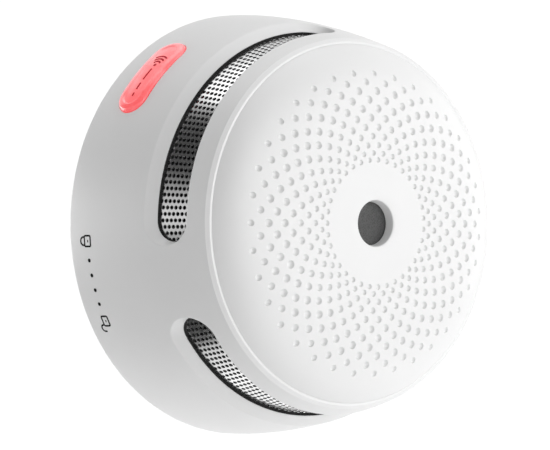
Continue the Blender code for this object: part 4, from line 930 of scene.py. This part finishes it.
class SMOKEALARM_OT_side_shell(Operator):
    """Make the outer casing with its three smoke slots, its front lip and the button's opening"""
    bl_idname = "smoke_alarm.side_shell"
    bl_label = "Side Shell"

    def execute(self, context):
        skin = Skin()
        low, high = SHELL_LOW.z + BACK_EDGE, SHELL_HIGH.z - LIP_EDGE
        outer_holes, inner_holes = [], []
        for centre in SLOT_ANGLES:
            rim, corner, scoop, bottom, inner, away = slot_loops(centre)
            scoop_normals = skin.strip(around(*scoop), around(*bottom), away)
            skin.blend(around(*rim), around(*corner), around(*scoop), wall_normals(rim[0], rim[2]),
                       scoop_normals)
            skin.strip(around(*bottom), around(*inner), away)
            outer_holes.append(flat(rim[0], rim[2]))
            inner_holes.append(flat(inner[0], inner[2]))
        rim, corner, scoop, inner, away = button_hole(BUTTON_GAP, EDGE_SOFTENING)
        cut_normals = skin.strip(around(*scoop), around(*inner), away)
        skin.blend(around(*rim), around(*corner), around(*scoop), wall_normals(rim[0], rim[2]), cut_normals)
        outer_holes.append(flat(rim[0], rim[2]))
        inner_holes.append(flat(inner[0], inner[2]))
        wall_sheet(skin, low, high, OUTER_ROWS, outer_holes, 0.0, 1.0)
        wall_sheet(skin, SHELL_LOW.z, LEDGE_BACK_Z, INNER_ROWS, inner_holes, WALL_THICKNESS, -1.0)
        self.rims(skin, low, high)
        self.bosses(skin)
        made = skin.make("casing_side_shell", "head", "white_plastic")
        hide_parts("side_shell")
        # A dark strip in each slot paints the shade in the gap behind it.
        for number, centre in enumerate(SLOT_ANGLES, 1):
            self.painted_shade_liner(f"slot_painted_shade_liner_{number}", centre)
        return {"FINISHED"}

    def painted_shade_liner(self, name, centre):
        """Dark strip in the foam finish round the inside of one slot, from its neck down to the screen:
        painted shade, standing in for the shadow in the gap behind the slot.
        """
        skin = Skin()
        points, outward = stadium(math.radians(SLOT_SPAN) * SLOT_MEAN_RADIUS, SLOT_WIDTH, *SLOT_STEPS)
        section = ((-SHADE_LINER_LAP, SHADE_LINER_TOP), (-SHADE_LINER_LAP, SCREEN_INSET),
                   (SHADE_LINER_FLANGE, SCREEN_INSET), (SHADE_LINER_FLANGE, WALL_THICKNESS + SHADE_LINER_LAP),
                   (0.0, WALL_THICKNESS + SHADE_LINER_LAP), (0.0, SHADE_LINER_TOP))
        loops = []
        for outset, inset in section:
            u, v = (points + outset * outward).T
            z = SLOT_MID_Z + v
            loops.append(around(math.radians(centre) + u / SLOT_MEAN_RADIUS, wall_radius(z) - inset, z))
        middle = sum(loops) / len(loops)
        for number, first in enumerate(loops):
            second = loops[(number + 1) % len(loops)]
            skin.strip(first, second, middle - (first + second) / 2)
        skin.make(name, "head", "foam_rubber")

    def rims(self, skin, low, high):
        """Back edge, front lip and the ledge under the face."""
        back_z, lip_z, soft = SHELL_LOW.z, SHELL_HIGH.z, LIP_SOFTENING
        low_radius, high_radius = float(wall_radius(low)), float(wall_radius(high))
        skin.turn(straight((SHELL_RADIUS - WALL_THICKNESS, back_z), (SHELL_RADIUS - BACK_EDGE, back_z)))
        skin.turn(bent((SHELL_RADIUS - BACK_EDGE, back_z), (SHELL_RADIUS, back_z), (low_radius, low)))
        shoulder = (LIP_CREST_RADIUS + soft, lip_z - soft)
        crest, brim = (LIP_CREST_RADIUS - soft, lip_z), (LIP_INNER_RADIUS + soft, lip_z)
        skin.turn(straight((high_radius, high), shoulder))
        skin.turn(bent(shoulder, (LIP_CREST_RADIUS, lip_z), crest))
        skin.turn(straight(crest, brim))
        skin.turn(bent(brim, (LIP_INNER_RADIUS, lip_z), (LIP_INNER_RADIUS, lip_z - soft)))
        skin.turn_corners([(LIP_INNER_RADIUS, lip_z - soft), (LIP_INNER_RADIUS, LEDGE_FRONT_Z),
                           (LEDGE_INNER_RADIUS, LEDGE_FRONT_Z), (LEDGE_INNER_RADIUS, LEDGE_BACK_Z),
                           (float(wall_radius(LEDGE_BACK_Z)) - WALL_THICKNESS, LEDGE_BACK_Z)])

    def bosses(self, skin):
        """Hollow bosses with a web to the wall."""
        deep = BOSS_FRONT_Z - WALL_THICKNESS
        corners = [(0.0, deep), (BOSS_BORE, deep), (BOSS_BORE, BOSS_BACK_Z), (BOSS_RADIUS, BOSS_BACK_Z),
                   (BOSS_RADIUS, BOSS_FRONT_Z), (0.0, BOSS_FRONT_Z)]
        reach = float(wall_radius(BOSS_FRONT_Z)) - WALL_THICKNESS / 2
        for angle in BOSS_ANGLES:
            turn = Matrix.Rotation(math.radians(angle), 4, "Z")
            place = turn @ Matrix.Translation((BOSS_PITCH_RADIUS, 0, 0))
            skin.turn_corners(corners, BOSS_STEPS, place, 0.0)
            skin.box((-BOSS_WEB_HALF_WIDTH, BOSS_WEB_HALF_WIDTH), (BOSS_BACK_Z, BOSS_FRONT_Z - BOSS_WEB_DROP),
                     (BOSS_PITCH_RADIUS + 0.8 * BOSS_RADIUS, reach), radial_place(angle))


class SMOKEALARM_OT_face_cover(Operator):
    """Make the domed face with its rings of dimples and its sound port"""
    bl_idname = "smoke_alarm.face_cover"
    bl_label = "Face Cover"

    def execute(self, context):
        sizes = context.scene.smoke_alarm_sizes
        skin = Skin()
        first = math.radians(FIRST_ANGLE)
        outer = circle(FACE_RADIUS, STEPS_ROUND, first)
        port_top = PORT_RADIUS + PORT_DRAFT + PORT_ROUND
        port = circle(port_top, STEPS_ROUND, first)
        fill = [circle(radius * MM, steps, first) for radius, steps in FACE_FILL] + [np.zeros((1, 2))]
        dimples = self.dimples(sizes)
        for x, y, radius in dimples:
            fill.append(np.array([[x, y]]))
            fill += [np.array([x, y]) + circle(share * radius, DIMPLE_STEPS) for share in DIMPLE_FILL]
        fill = np.concatenate(fill) / MM
        placed, faces = triangulate(outer / MM, [port / MM], fill, FACE_CLEAR)
        points, normals = self.surface(placed * MM, dimples, sizes.dimple_depth)
        skin.add(points, normals, faces)
        self.turned_parts(skin, port_top)
        made = skin.make("dimpled_face_cover", "head", "white_plastic")
        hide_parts("face_cover")
        return {"FINISHED"}

    def dimples(self, sizes):
        """Centre and radius of each dimple; every other ring is shifted by half a pitch."""
        pitch = math.tau / sizes.dimples_per_ring
        found = []
        for ring, share in enumerate(DIMPLE_SHARES):
            width = float(np.interp(ring, *DIMPLE_WIDTHS))
            first = pitch / 2 if ring % 2 == 0 else 0.0
            for number in range(sizes.dimples_per_ring):
                angle = first + number * pitch
                reach = share * sizes.dimple_outer_ring
                found.append((reach * math.cos(angle), reach * math.sin(angle), width / 2))
        return found

    def surface(self, flat_points, dimples, depth_share):
        """Height and normal of the face at points in its plane."""
        x, y = flat_points.T
        radius = np.hypot(x, y)
        z = face_height(radius)
        fall = face_slope(radius)
        halo = np.clip((PORT_RADIUS + PORT_ROUND + PORT_HALO - radius) / PORT_HALO, 0.0, 1.0)
        z = z - PORT_HALO_DEPTH * halo ** 2
        fall = fall - 2.0 * PORT_HALO_DEPTH * halo / PORT_HALO
        safe = np.maximum(radius, MM)
        slope_x, slope_y = -fall * x / safe, -fall * y / safe
        for centre_x, centre_y, size in dimples:
            near = np.flatnonzero((np.abs(x - centre_x) < 1.2 * size) & (np.abs(y - centre_y) < 1.2 * size))
            away_x, away_y = x[near] - centre_x, y[near] - centre_y
            away = np.hypot(away_x, away_y)
            drop, steep = self.dimple(away / size, 2.0 * size * depth_share)
            z[near] -= drop
            away = np.maximum(away, 1e-6)
            slope_x[near] -= steep / size * away_x / away
            slope_y[near] -= steep / size * away_y / away
        normals = unit(np.stack([-slope_x, -slope_y, np.ones_like(x)], -1))
        return np.stack([x, y, z], -1), normals

    def dimple(self, share, depth):
        """Drop of a dimple and its rate of change, at shares of its radius: a cup with a soft edge."""
        start, end = DIMPLE_BLEND
        edge, edge_rate = 1.0 - start ** DIMPLE_FLOOR, -DIMPLE_FLOOR * start ** (DIMPLE_FLOOR - 1.0)
        cup = 1.0 - np.minimum(share, start) ** DIMPLE_FLOOR
        cup_rate = -DIMPLE_FLOOR * np.minimum(share, start) ** (DIMPLE_FLOOR - 1.0)
        width = end - start
        t = np.clip((share - start) / width, 0.0, 1.0)
        ease = edge * (2 * t ** 3 - 3 * t ** 2 + 1) + edge_rate * width * (t ** 3 - 2 * t ** 2 + t)
        ease_rate = edge * (6 * t ** 2 - 6 * t) / width + edge_rate * (3 * t ** 2 - 4 * t + 1)
        inner = share < start
        return depth * np.where(inner, cup, ease), depth * np.where(inner, cup_rate, ease_rate)

    def turned_parts(self, skin, port_top):
        """Port, collar, underside and skirt."""
        top_z = float(face_height(port_top)) - PORT_HALO_DEPTH
        collar_z = FACE_HIGH.z - COLLAR_DEPTH
        collar_out = PORT_RADIUS + FACE_THICKNESS
        radii = [collar_out] + [FACE_RADIUS * math.sin(math.radians(a)) for a in np.linspace(20.0, 90.0, 10)]
        under = []
        for radius in radii:
            tilt = math.atan(float(face_slope(radius)))
            under.append((radius - FACE_THICKNESS * math.sin(tilt),
                          float(face_height(radius)) - FACE_THICKNESS * math.cos(tilt),
                          -math.sin(tilt), -math.cos(tilt)))
        edge_z = float(face_height(FACE_RADIUS))
        skin.turn(straight((FACE_RADIUS, FACE_LOW.z), (FACE_RADIUS, edge_z)))
        mouth = PORT_RADIUS + PORT_DRAFT
        skin.turn(bent((port_top, top_z), (mouth, top_z), (mouth, top_z - PORT_ROUND), 8))
        skin.turn(straight((mouth, top_z - PORT_ROUND), (PORT_RADIUS, collar_z), 3))
        skin.turn_corners([(PORT_RADIUS, collar_z), (collar_out, collar_z), under[0][:2]])
        skin.turn(under)
        skin.turn_corners([under[-1][:2], (under[-1][0], FACE_LOW.z), (FACE_RADIUS, FACE_LOW.z)])


class SMOKEALARM_OT_insect_screen(Operator):
    """Make the perforated band behind the smoke slots"""
    bl_idname = "smoke_alarm.insect_screen"
    bl_label = "Insect Screen"

    def execute(self, context):
        sizes = context.scene.smoke_alarm_sizes
        skin = Skin()
        pitch = sizes.hole_pitch
        column = math.tau / SCREEN_COLUMNS
        mean_radius = float(wall_radius((SCREEN_LOW.z + SCREEN_HIGH.z) / 2)) - SCREEN_INSET
        half = column / 2 * mean_radius / MM
        tall = pitch / 2 / MM
        square = np.array([(-half, -tall), (0, -tall), (half, -tall), (half, 0), (half, tall), (0, tall),
                           (-half, tall), (-half, 0)], float)
        margin = (SCREEN_HIGH.z - SCREEN_LOW.z - (SCREEN_PER_COLUMN + 0.5) * pitch) / 2
        hole = circle(sizes.hole_width / 2 / MM, SCREEN_HOLE_STEPS)
        cell, faces = triangulate(square, [hole], np.empty((0, 2)), 0.0)
        for number in range(SCREEN_COLUMNS):
            shift = pitch / 2 if number % 2 else 0.0
            first = SCREEN_LOW.z + margin + shift
            angle = SCREEN_FIRST_ANGLE + number * column
            for row in range(SCREEN_PER_COLUMN):
                middle = first + (row + 0.5) * pitch
                for inset, side in zip(SCREEN_INSETS, (1.0, -1.0)):
                    skin.add(*self.on_band(cell, angle, middle, mean_radius, inset, side), faces)
                outer, inner = (self.on_band(hole, angle, middle, mean_radius, inset, 1.0)[0]
                                for inset in SCREEN_INSETS)
                skin.strip(outer, inner, unit(outer - outer.mean(axis=0)))
            self.margins(skin, number, column, first, first + SCREEN_PER_COLUMN * pitch, pitch)
        made = skin.make("perforated_screen", "head", "screen_steel")
        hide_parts("insect_screen")
        return {"FINISHED"}

    def on_band(self, flat_points, angle, middle, mean_radius, inset, side):
        turn = angle + flat_points[:, 0] * MM / mean_radius
        z = middle + flat_points[:, 1] * MM
        return around(turn, wall_radius(z) - inset, z), side * wall_normals(turn, z)

    def margins(self, skin, number, column, low, high, pitch):
        """Plain edges of one column, on both faces, and the rims between them."""
        left, middle, right = (SCREEN_FIRST_ANGLE + (number + share) * column for share in (-0.5, 0.0, 0.5))
        step = pitch / 2
        odd = number % 2
        ends = ((SCREEN_LOW.z, low, low - step if odd else low),
                (SCREEN_HIGH.z, high, high if odd else high + step))
        for edge, near, extra in ends:
            shape = [(left, edge), (right, edge)]
            side = [near] if near == extra else [extra, near]
            shape += [(right, z) for z in side] + [(middle, near)] + [(left, z) for z in reversed(side)]
            angle, z = np.array(shape).T
            face = [list(range(len(shape)))]
            for inset, way in zip(SCREEN_INSETS, (1.0, -1.0)):
                skin.add(around(angle, wall_radius(z) - inset, z), way * wall_normals(angle, z), face)
            turn = np.array([left, right, right, left])
            radius = float(wall_radius(edge)) - np.array(SCREEN_INSETS)[[0, 0, 1, 1]]
            normal = np.array([[0.0, 0.0, 1.0 if edge > near else -1.0]] * 4)
            skin.add(around(turn, radius, edge), normal, [[0, 1, 2, 3]])


# ---------------------------------------------------------------- button, marks and gauze

def pill_point(u, v, lift):
    """Point over the wall in the test button's straight-down view, lifted off the wall's curve."""
    z = BUTTON_Z + v
    radius = wall_radius(z) + lift
    return np.stack([u, z, np.sqrt(radius ** 2 - u ** 2)], -1) @ BUTTON_TURN.T


class SMOKEALARM_OT_test_button(Operator):
    """Make the translucent test button: a pill with a sloped rim, a dished middle and a raised sound sign"""
    bl_idname = "smoke_alarm.test_button"
    bl_label = "Test Button"

    def execute(self, context):
        sizes = context.scene.smoke_alarm_sizes
        skin = Skin()
        proud, dish = sizes.button_proud, sizes.button_dish
        insets = np.array([*BUTTON_INSETS, BUTTON_WIDTH / 2 / MM]) * MM
        points, outward = stadium(BUTTON_LENGTH, BUTTON_WIDTH, *BUTTON_STEPS)
        loops = np.stack([points - inset * outward for inset in insets], 1)
        inset = np.broadcast_to(insets[None, :], loops.shape[:2])
        surface = pill_point(loops[..., 0], loops[..., 1], self.lift(inset, proud, dish))
        shifted = []
        for a, b in ((NORMAL_STEP, 0.0), (0.0, NORMAL_STEP)):
            moved_in = inset - (a * outward[:, None, 0] + b * outward[:, None, 1])
            lifted = self.lift(moved_in, proud, dish)
            shifted.append(pill_point(loops[..., 0] + a, loops[..., 1] + b, lifted) - surface)
        normals = unit(np.cross(*shifted))
        normals[(normals * BUTTON_OUTWARD).sum(axis=-1) < 0.0] *= -1.0
        skin.grid(surface, normals)
        across = np.concatenate([outward, np.zeros((len(outward), 1))], 1) @ BUTTON_TURN.T
        edge = surface[:, 0]
        depth = BUTTON_INNER_RADIUS - (edge * BUTTON_OUTWARD).sum(axis=1)
        foot = edge + depth[:, None] * BUTTON_OUTWARD
        skin.grid(np.stack([foot, edge], 1), np.stack([across, across], 1))
        flat_foot = np.stack([foot, np.tile(foot.mean(axis=0), (len(foot), 1))], 1)
        skin.grid(flat_foot, np.tile(-BUTTON_OUTWARD, (len(foot), 2, 1)))
        self.inner_parts(skin)
        made = skin.make("test_button_cap", "button", "red_button_plastic")
        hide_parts("test_button")
        sign = Skin()
        self.sound_sign(sign, proud, dish)
        sign.make("test_button_sign", "button", "red_button_plastic", "red_ink")
        return {"FINISHED"}

    def lift(self, inset, proud, dish):
        """Height over the wall's curve at a distance in from the pill's outline."""
        edge = np.clip(inset / BUTTON_EDGE_WIDTH, 0.0, 1.0)
        slope = np.clip(inset / BUTTON_SLOPE_WIDTH, 0.0, 1.0)
        round_share, slope_share = BUTTON_RISE_SHARES
        rise = round_share * np.sqrt(1.0 - (1.0 - edge) ** 2) + slope_share * np.sin(slope * math.pi / 2)
        step = np.clip((inset - BUTTON_DISH_START) / BUTTON_DISH_WIDTH, 0.0, 1.0)
        return proud * rise - dish * (3.0 * step ** 2 - 2.0 * step ** 3)

    def inner_parts(self, skin):
        """Flange, stalk and the leg that reaches the switch and the lamps."""
        flange = [BUTTON_INNER_RADIUS - inset for inset in FLANGE_INSETS]
        skin.box((-FLANGE_HALF_LENGTH, FLANGE_HALF_LENGTH), (FLANGE_LOW_Z, BUTTON_Z + FLANGE_RISE), flange,
                 BUTTON_PLACE)
        skin.box((-STALK_HALF_LENGTH, STALK_HALF_LENGTH),
                 (BUTTON_Z - STALK_HALF_HEIGHT, BUTTON_Z + STALK_HALF_HEIGHT),
                 (flange[0] - STALK_DEPTH, BUTTON_INNER_RADIUS + STALK_LAP), BUTTON_PLACE)
        skin.box((-LEG_HALF_LENGTH, LEG_HALF_LENGTH), (BUTTON_Z - LEG_DROP, span("test_button")[1].z),
                 LEG_RADII, BUTTON_PLACE)

    def sound_sign(self, skin, proud, dish):
        """Raised dot with three sound arcs and three dashes, along the dished middle."""
        def lay(u, v):
            return pill_point(u, v, proud - dish)

        for radius, half_turn in SIGN_ARCS:
            turn = np.radians(180.0 + np.linspace(-half_turn, half_turn, 13))
            arc = np.stack([SIGN_ARC_X + radius * np.cos(turn), radius * np.sin(turn)], -1) * MM
            raised_stroke(skin, arc, SIGN_STROKE, lay, False, SIGN_FILM)
        ring = (np.array([SIGN_DOT_X, 0.0]) + circle(SIGN_DOT_RADIUS, 16)) * MM
        raised_stroke(skin, ring, SIGN_DOT_STROKE, lay, True, SIGN_FILM)
        for start, end in SIGN_DASHES:
            dash = np.stack([np.linspace(start, end, 8), np.zeros(8)], -1) * MM
            raised_stroke(skin, dash, SIGN_STROKE, lay, False, SIGN_FILM)


def raised_stroke(skin, path, width, on_surface, closed, film):
    """Ribbon of one width along a path on a surface: its top is raised by the film and its foot is sunk."""
    ahead = np.roll(path, -1, axis=0) - np.roll(path, 1, axis=0)
    if not closed:
        ahead[0], ahead[-1] = path[1] - path[0], path[-1] - path[-2]
    ahead = unit(ahead)
    side = np.stack([-ahead[:, 1], ahead[:, 0]], -1)
    rails = [path + side * width / 2, path - side * width / 2]
    base = [on_surface(rail[:, 0], rail[:, 1]) for rail in rails]
    middle = on_surface(path[:, 0], path[:, 1])
    ahead_3d = np.roll(middle, -1, axis=0) - np.roll(middle, 1, axis=0)
    if not closed:
        ahead_3d[0], ahead_3d[-1] = middle[1] - middle[0], middle[-1] - middle[-2]
    across = base[0] - base[1]
    up = unit(np.cross(ahead_3d, across))
    up[(up * middle)[:, :2].sum(axis=1) < 0.0] *= -1.0
    across = unit(across)
    rail_points = [base[0] - film * up, base[0] + film * up, base[1] + film * up, base[1] - film * up]
    facing = [across, up, -across, -up]
    count = len(path)
    rows = range(count if closed else count - 1)
    for number in range(4):
        first, second = rail_points[number], rail_points[(number + 1) % 4]
        points = np.concatenate([first, second])
        normals = np.concatenate([facing[number], facing[number]])
        faces = [[i, (i + 1) % count, count + (i + 1) % count, count + i] for i in rows]
        skin.add(points, normals, faces)
    if not closed:
        for end, way in ((0, -1.0), (count - 1, 1.0)):
            corners = np.array([rail[end] for rail in rail_points])
            normal = way * unit(ahead_3d[end])
            skin.add(corners, np.tile(normal, (4, 1)), [[0, 1, 2, 3]])


def on_wall(angle, z):
    """Function that lays a small flat drawing on the wall, centred at an angle and height."""
    def lay(u, v):
        height = z + v
        return around(math.radians(angle) + u / SHELL_RADIUS, wall_radius(height), height)
    return lay


def disc(skin, radius, on_surface, film, steps=20):
    """Thin round mark on a surface."""
    rim = on_surface(*circle(radius, steps).T)
    middle = on_surface(np.zeros(1), np.zeros(1))[0]
    outward = unit(middle * (1.0, 1.0, 0.0))
    for way in (1.0, -1.0):
        fan = np.concatenate([rim, middle[None]]) + way * film * outward
        faces = [[i, (i + 1) % steps, steps] for i in range(steps)]
        skin.add(fan, np.tile(way * outward, (steps + 1, 1)), faces)
    side = unit(rim - middle)
    skin.grid(np.stack([rim - film * outward, rim + film * outward], 1), np.stack([side, side], 1))


class SMOKEALARM_OT_lock_marks(Operator):
    """Print the closed and open padlocks and the dots between them, which show which way the alarm twists"""
    bl_idname = "smoke_alarm.lock_marks"
    bl_label = "Lock Marks"

    def execute(self, context):
        self.padlock("mark_locked", on_wall(CLOSED_ANGLE, MARK_Z), *CLOSED_BOW)
        self.padlock("mark_unlocked", on_wall(OPEN_ANGLE, MARK_Z), *OPEN_BOW)
        for number, angle in enumerate(DOT_ANGLES, 1):
            skin = Skin()
            disc(skin, DOT_RADIUS, on_wall(angle, MARK_Z), MARK_FILM)
            skin.make(f"mark_dot_{number}", "head", "black_plastic", "ink")
        return {"FINISHED"}

    def padlock(self, name, lay, bow_x, bow_radius, leg_end):
        """Padlock outline with a keyhole. Its bow has one leg in the body, and the other ends at a height."""
        skin = Skin()
        body = []
        for number, (x, y) in enumerate(((1, 1), (-1, 1), (-1, -1), (1, -1))):
            turn = np.radians(np.linspace(0.0, 90.0, 4)) + number * math.pi / 2
            body.append(np.stack([x * (LOCK_HALF_WIDTH - LOCK_CORNER) + LOCK_CORNER * np.cos(turn),
                                  y * (LOCK_HALF_HEIGHT - LOCK_CORNER) + LOCK_CORNER * np.sin(turn)], -1))
        raised_stroke(skin, np.concatenate(body) * MM, MARK_STROKE, lay, True, MARK_FILM)
        turn = np.radians(np.linspace(0.0, -180.0, 13))
        bow = np.stack([bow_x + bow_radius * np.cos(turn), LOCK_BOW_Y + bow_radius * np.sin(turn)], -1)
        legs = [[bow_x + bow_radius, leg_end]], [[bow_x - bow_radius, -LOCK_HALF_HEIGHT]]
        raised_stroke(skin, np.concatenate([legs[0], bow, legs[1]]) * MM, MARK_STROKE, lay, False, MARK_FILM)
        keyhole = np.array([[x, KEYHOLE_Y] for x in KEYHOLE_XS]) * MM
        raised_stroke(skin, keyhole, KEYHOLE_STROKE, lay, False, MARK_FILM)
        skin.make(name, "head", "black_plastic", "ink")


class SMOKEALARM_OT_gauze(Operator):
    """Weave the gauze disc at the bottom of the sound port"""
    bl_idname = "smoke_alarm.gauze"
    bl_label = "Sound Port Gauze"

    def execute(self, context):
        low, high = span("sounder_mesh")
        radius, depth = high.x, GAUZE_RELIEF
        skin = Skin()
        rim = circle(radius, GAUZE_STEPS)
        line = np.arange(-radius, radius, GAUZE_THREAD / 4)
        fill = np.stack(np.meshgrid(line, line), -1).reshape(-1, 2)
        fill = fill[np.hypot(*fill.T) < radius - GAUZE_FILL_MARGIN]
        placed, faces = triangulate(rim / MM, [], fill / MM, 0.0)
        x, y = placed.T * MM
        wave = math.pi / GAUZE_THREAD
        z = high.z - depth + depth * np.sin(wave * x) * np.sin(wave * y)
        slope = depth * wave * np.stack([np.cos(wave * x) * np.sin(wave * y),
                                         np.sin(wave * x) * np.cos(wave * y)], -1)
        at_rim = np.hypot(x, y) > radius - GAUZE_RIM_WIDTH
        z[at_rim] = high.z - depth
        slope[at_rim] = 0.0
        normals = unit(np.stack([-slope[:, 0], -slope[:, 1], np.ones_like(x)], -1))
        skin.add(np.stack([x, y, z], -1), normals, faces)
        skin.turn_corners([(0.0, low.z), (radius, low.z), (radius, high.z - depth)], GAUZE_STEPS, None, 0.0)
        made = skin.make("sound_port_gauze", "head", "dark_gauze")
        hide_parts("sounder_mesh")
        return {"FINISHED"}


class SMOKEALARM_OT_cad_finishes(Operator):
    """Give every CAD part that stays its finish"""
    bl_idname = "smoke_alarm.cad_finishes"
    bl_label = "Finishes of the CAD Parts"

    def execute(self, context):
        for node, slot in SLOT_OF_NODE.items():
            made = NODES[node]
            made.data.materials.clear()
            made.data.materials.append(FINISHES[slot])
        return {"FINISHED"}


# ---------------------------------------------------------------- stage

def soft_light(name, place, size, watts):
    """Rectangular soft light at a place in the world, aimed at the alarm."""
    light = bpy.data.lights.new(name, "AREA")
    light.shape = "RECTANGLE"
    light.size, light.size_y = size
    light.energy = watts
    lamp = bpy.data.objects.new(name, light)
    bpy.context.scene.collection.objects.link(lamp)
    lamp.location = place
    lamp.rotation_mode = "QUATERNION"
    lamp.rotation_quaternion = (Vector() - Vector(place)).to_track_quat("-Z", "Y")


def linked(name, bm, material):
    """Object in the scene from a mesh builder, which is freed."""
    mesh = bpy.data.meshes.new(name)
    bm.to_mesh(mesh)
    bm.free()
    mesh.materials.append(material)
    made = bpy.data.objects.new(name, mesh)
    bpy.context.scene.collection.objects.link(made)
    return made


class SMOKEALARM_OT_stage(Operator):
    """Set the pale floor, the soft studio light and the camera"""
    bl_idname = "smoke_alarm.stage"
    bl_label = "Stage"

    def execute(self, context):
        stage = context.scene.smoke_alarm_stage
        self.floor(stage)
        self.world(context, stage)
        for light in SOFT_LIGHTS:
            soft_light(*light)
        self.dark_card()
        self.camera(context, stage)
        context.scene.view_settings.view_transform = "Standard"
        return {"FINISHED"}

    def floor(self, stage):
        """Round floor with a soft mottled paint. It gives light to camera and mirror rays only."""
        material, nodes, shader = shader_of("Pale floor paint", Roughness=0.8)
        where = nodes.where()
        tone = nodes.span(nodes.noise(where, 3.0), 0.3, 0.7, 0.0, 1.0)
        nodes.put(shader, "Base Color", nodes.mix(tone, (0.86, 0.86, 0.86), (0.90, 0.90, 0.90)))
        shader.inputs["Emission Color"].default_value = (1.0, 1.0, 1.0, 1.0)
        path = nodes.add("ShaderNodeLightPath").outputs
        seen = nodes.math("MAXIMUM", path["Is Camera Ray"], path["Is Glossy Ray"])
        side = nodes.add("ShaderNodeSeparateXYZ", {0: where}).outputs["X"]
        mirrored = nodes.span(side, -0.3, 0.0, 0.0, FLOOR_GLOW)
        shown = nodes.add("ShaderNodeMix", {0: path["Is Camera Ray"], 2: mirrored, 3: FLOOR_GLOW}).outputs[0]
        nodes.put(shader, "Emission Strength", nodes.math("MULTIPLY", seen, shown))
        bm = bmesh.new()
        bmesh.ops.create_circle(bm, cap_ends=True, radius=FLOOR_RADIUS, segments=96,
                                matrix=Matrix.Translation((0.0, 0.0, CAD_BOX[0].z - stage.floor_drop)))
        floor = linked("Floor", bm, material)

    def dark_card(self):
        """Dark felt card low on the left, seen by mirror rays only."""
        away = Vector(CARD_WAY).normalized()
        turn = away.to_track_quat("Z", "Y").to_matrix().to_4x4()
        bm = bmesh.new()
        bmesh.ops.create_grid(bm, x_segments=1, y_segments=1, size=CARD_HALF_SIZE,
                              matrix=Matrix.Translation(CARD_DISTANCE * away) @ turn)
        card = linked("Dark card", bm, foam_finish("dark felt", (0.04, 0.04, 0.04), 400.0, 0.9))
        card.visible_camera = False
        card.visible_diffuse = False

    def world(self, context, stage):
        """White behind the alarm, a dimmer light on it, and bright and dark sides in its mirrors."""
        world = bpy.data.worlds.new("Studio")
        context.scene.world = world
        world.use_nodes = True
        nodes = Nodes(world.node_tree)
        backdrop = world.node_tree.nodes["Background"]
        backdrop.inputs["Color"].default_value = (1.0, 1.0, 1.0, 1.0)
        path = nodes.add("ShaderNodeLightPath").outputs
        way = nodes.add("ShaderNodeTexCoord").outputs["Generated"]
        axes = nodes.add("ShaderNodeSeparateXYZ", {0: way}).outputs
        off_horizon = nodes.span(nodes.math("ABSOLUTE", axes["Z"]), 0.12, 0.4, 0.0, 1.0)
        left = nodes.span(axes["X"], -0.2, -0.5, 0.0, 1.0)
        mirrored = nodes.span(nodes.math("MULTIPLY", off_horizon, left), 0.0, 1.0, MIRROR_BRIGHT, MIRROR_DARK)
        viewer = nodes.add("ShaderNodeVectorMath", {0: way, 1: VIEWER_WAY}, operation="DOT_PRODUCT")
        even = nodes.span(viewer.outputs["Value"], 0.45, 0.95, 1.2 * stage.ambient, 0.6 * stage.ambient)
        room = nodes.add("ShaderNodeMix", {0: path["Is Glossy Ray"], 2: even, 3: mirrored}).outputs[0]
        shown = nodes.add("ShaderNodeMix", {0: path["Is Camera Ray"], 2: room, 3: BACKDROP_LEVEL})
        nodes.put(backdrop, "Strength", shown.outputs[0])

    def camera(self, context, stage):
        """Camera left of the face's axis, aimed a little left of the alarm."""
        lens = bpy.data.cameras.new("Camera")
        lens.sensor_width = SENSOR_WIDTH
        lens.lens = LENS_LENGTH
        lens.clip_start = 0.01
        lens.clip_end = 50.0
        camera = bpy.data.objects.new("Camera", lens)
        context.scene.collection.objects.link(camera)
        rise = math.radians(CAMERA_RISE)
        side = stage.camera_side
        back = Vector((-math.sin(side) * math.cos(rise), -math.cos(side) * math.cos(rise), math.sin(rise)))
        camera.location = Vector(CAMERA_CENTRE) + back * stage.camera_distance
        aim_left = Matrix.Rotation(math.radians(CAMERA_AIM_LEFT), 3, "Z") @ -back
        aim_left.z -= math.tan(math.radians(CAMERA_AIM_DOWN))
        camera.rotation_mode = "QUATERNION"
        camera.rotation_quaternion = aim_left.to_track_quat("-Z", "Y")
        context.scene.camera = camera


class SMOKEALARM_PT_sidebar(Panel):
    """Lists the pieces of the smoke alarm"""
    bl_label = "Smoke Alarm"
    bl_idname = "SMOKEALARM_PT_sidebar"
    bl_space_type = "VIEW_3D"
    bl_region_type = "UI"
    bl_category = "Smoke Alarm"

    def draw(self, context):
        for settings in ("smoke_alarm_sizes", "smoke_alarm_colours", "smoke_alarm_stage"):
            group = getattr(context.scene, settings)
            box = self.layout.box()
            for label in group.__annotations__:
                box.prop(group, label)
        for operator in OPERATORS:
            self.layout.operator(operator.bl_idname)


OPERATORS = (SMOKEALARM_OT_side_shell, SMOKEALARM_OT_face_cover, SMOKEALARM_OT_insect_screen,
             SMOKEALARM_OT_test_button, SMOKEALARM_OT_lock_marks, SMOKEALARM_OT_gauze,
             SMOKEALARM_OT_cad_finishes, SMOKEALARM_OT_stage)
SETTINGS = {"smoke_alarm_sizes": SmokeAlarmSizes, "smoke_alarm_colours": SmokeAlarmColours,
            "smoke_alarm_stage": SmokeAlarmStage}


def register():
    for cls in (*SETTINGS.values(), *OPERATORS, SMOKEALARM_PT_sidebar):
        bpy.utils.register_class(cls)
    for label, group in SETTINGS.items():
        setattr(bpy.types.Scene, label, PointerProperty(type=group))


def unregister():
    for label in SETTINGS:
        delattr(bpy.types.Scene, label)
    for cls in reversed((*SETTINGS.values(), *OPERATORS, SMOKEALARM_PT_sidebar)):
        bpy.utils.unregister_class(cls)


def main():
    register()
    FINISHES.update(build_finishes(bpy.context.scene.smoke_alarm_colours))
    for operator in OPERATORS:
        name = operator.bl_idname.split(".")[1]
        if getattr(bpy.ops.smoke_alarm, name)() != {"FINISHED"}:
            raise RuntimeError(f"{operator.bl_label} wasn't finished")


if __name__ == "__main__":
    main()
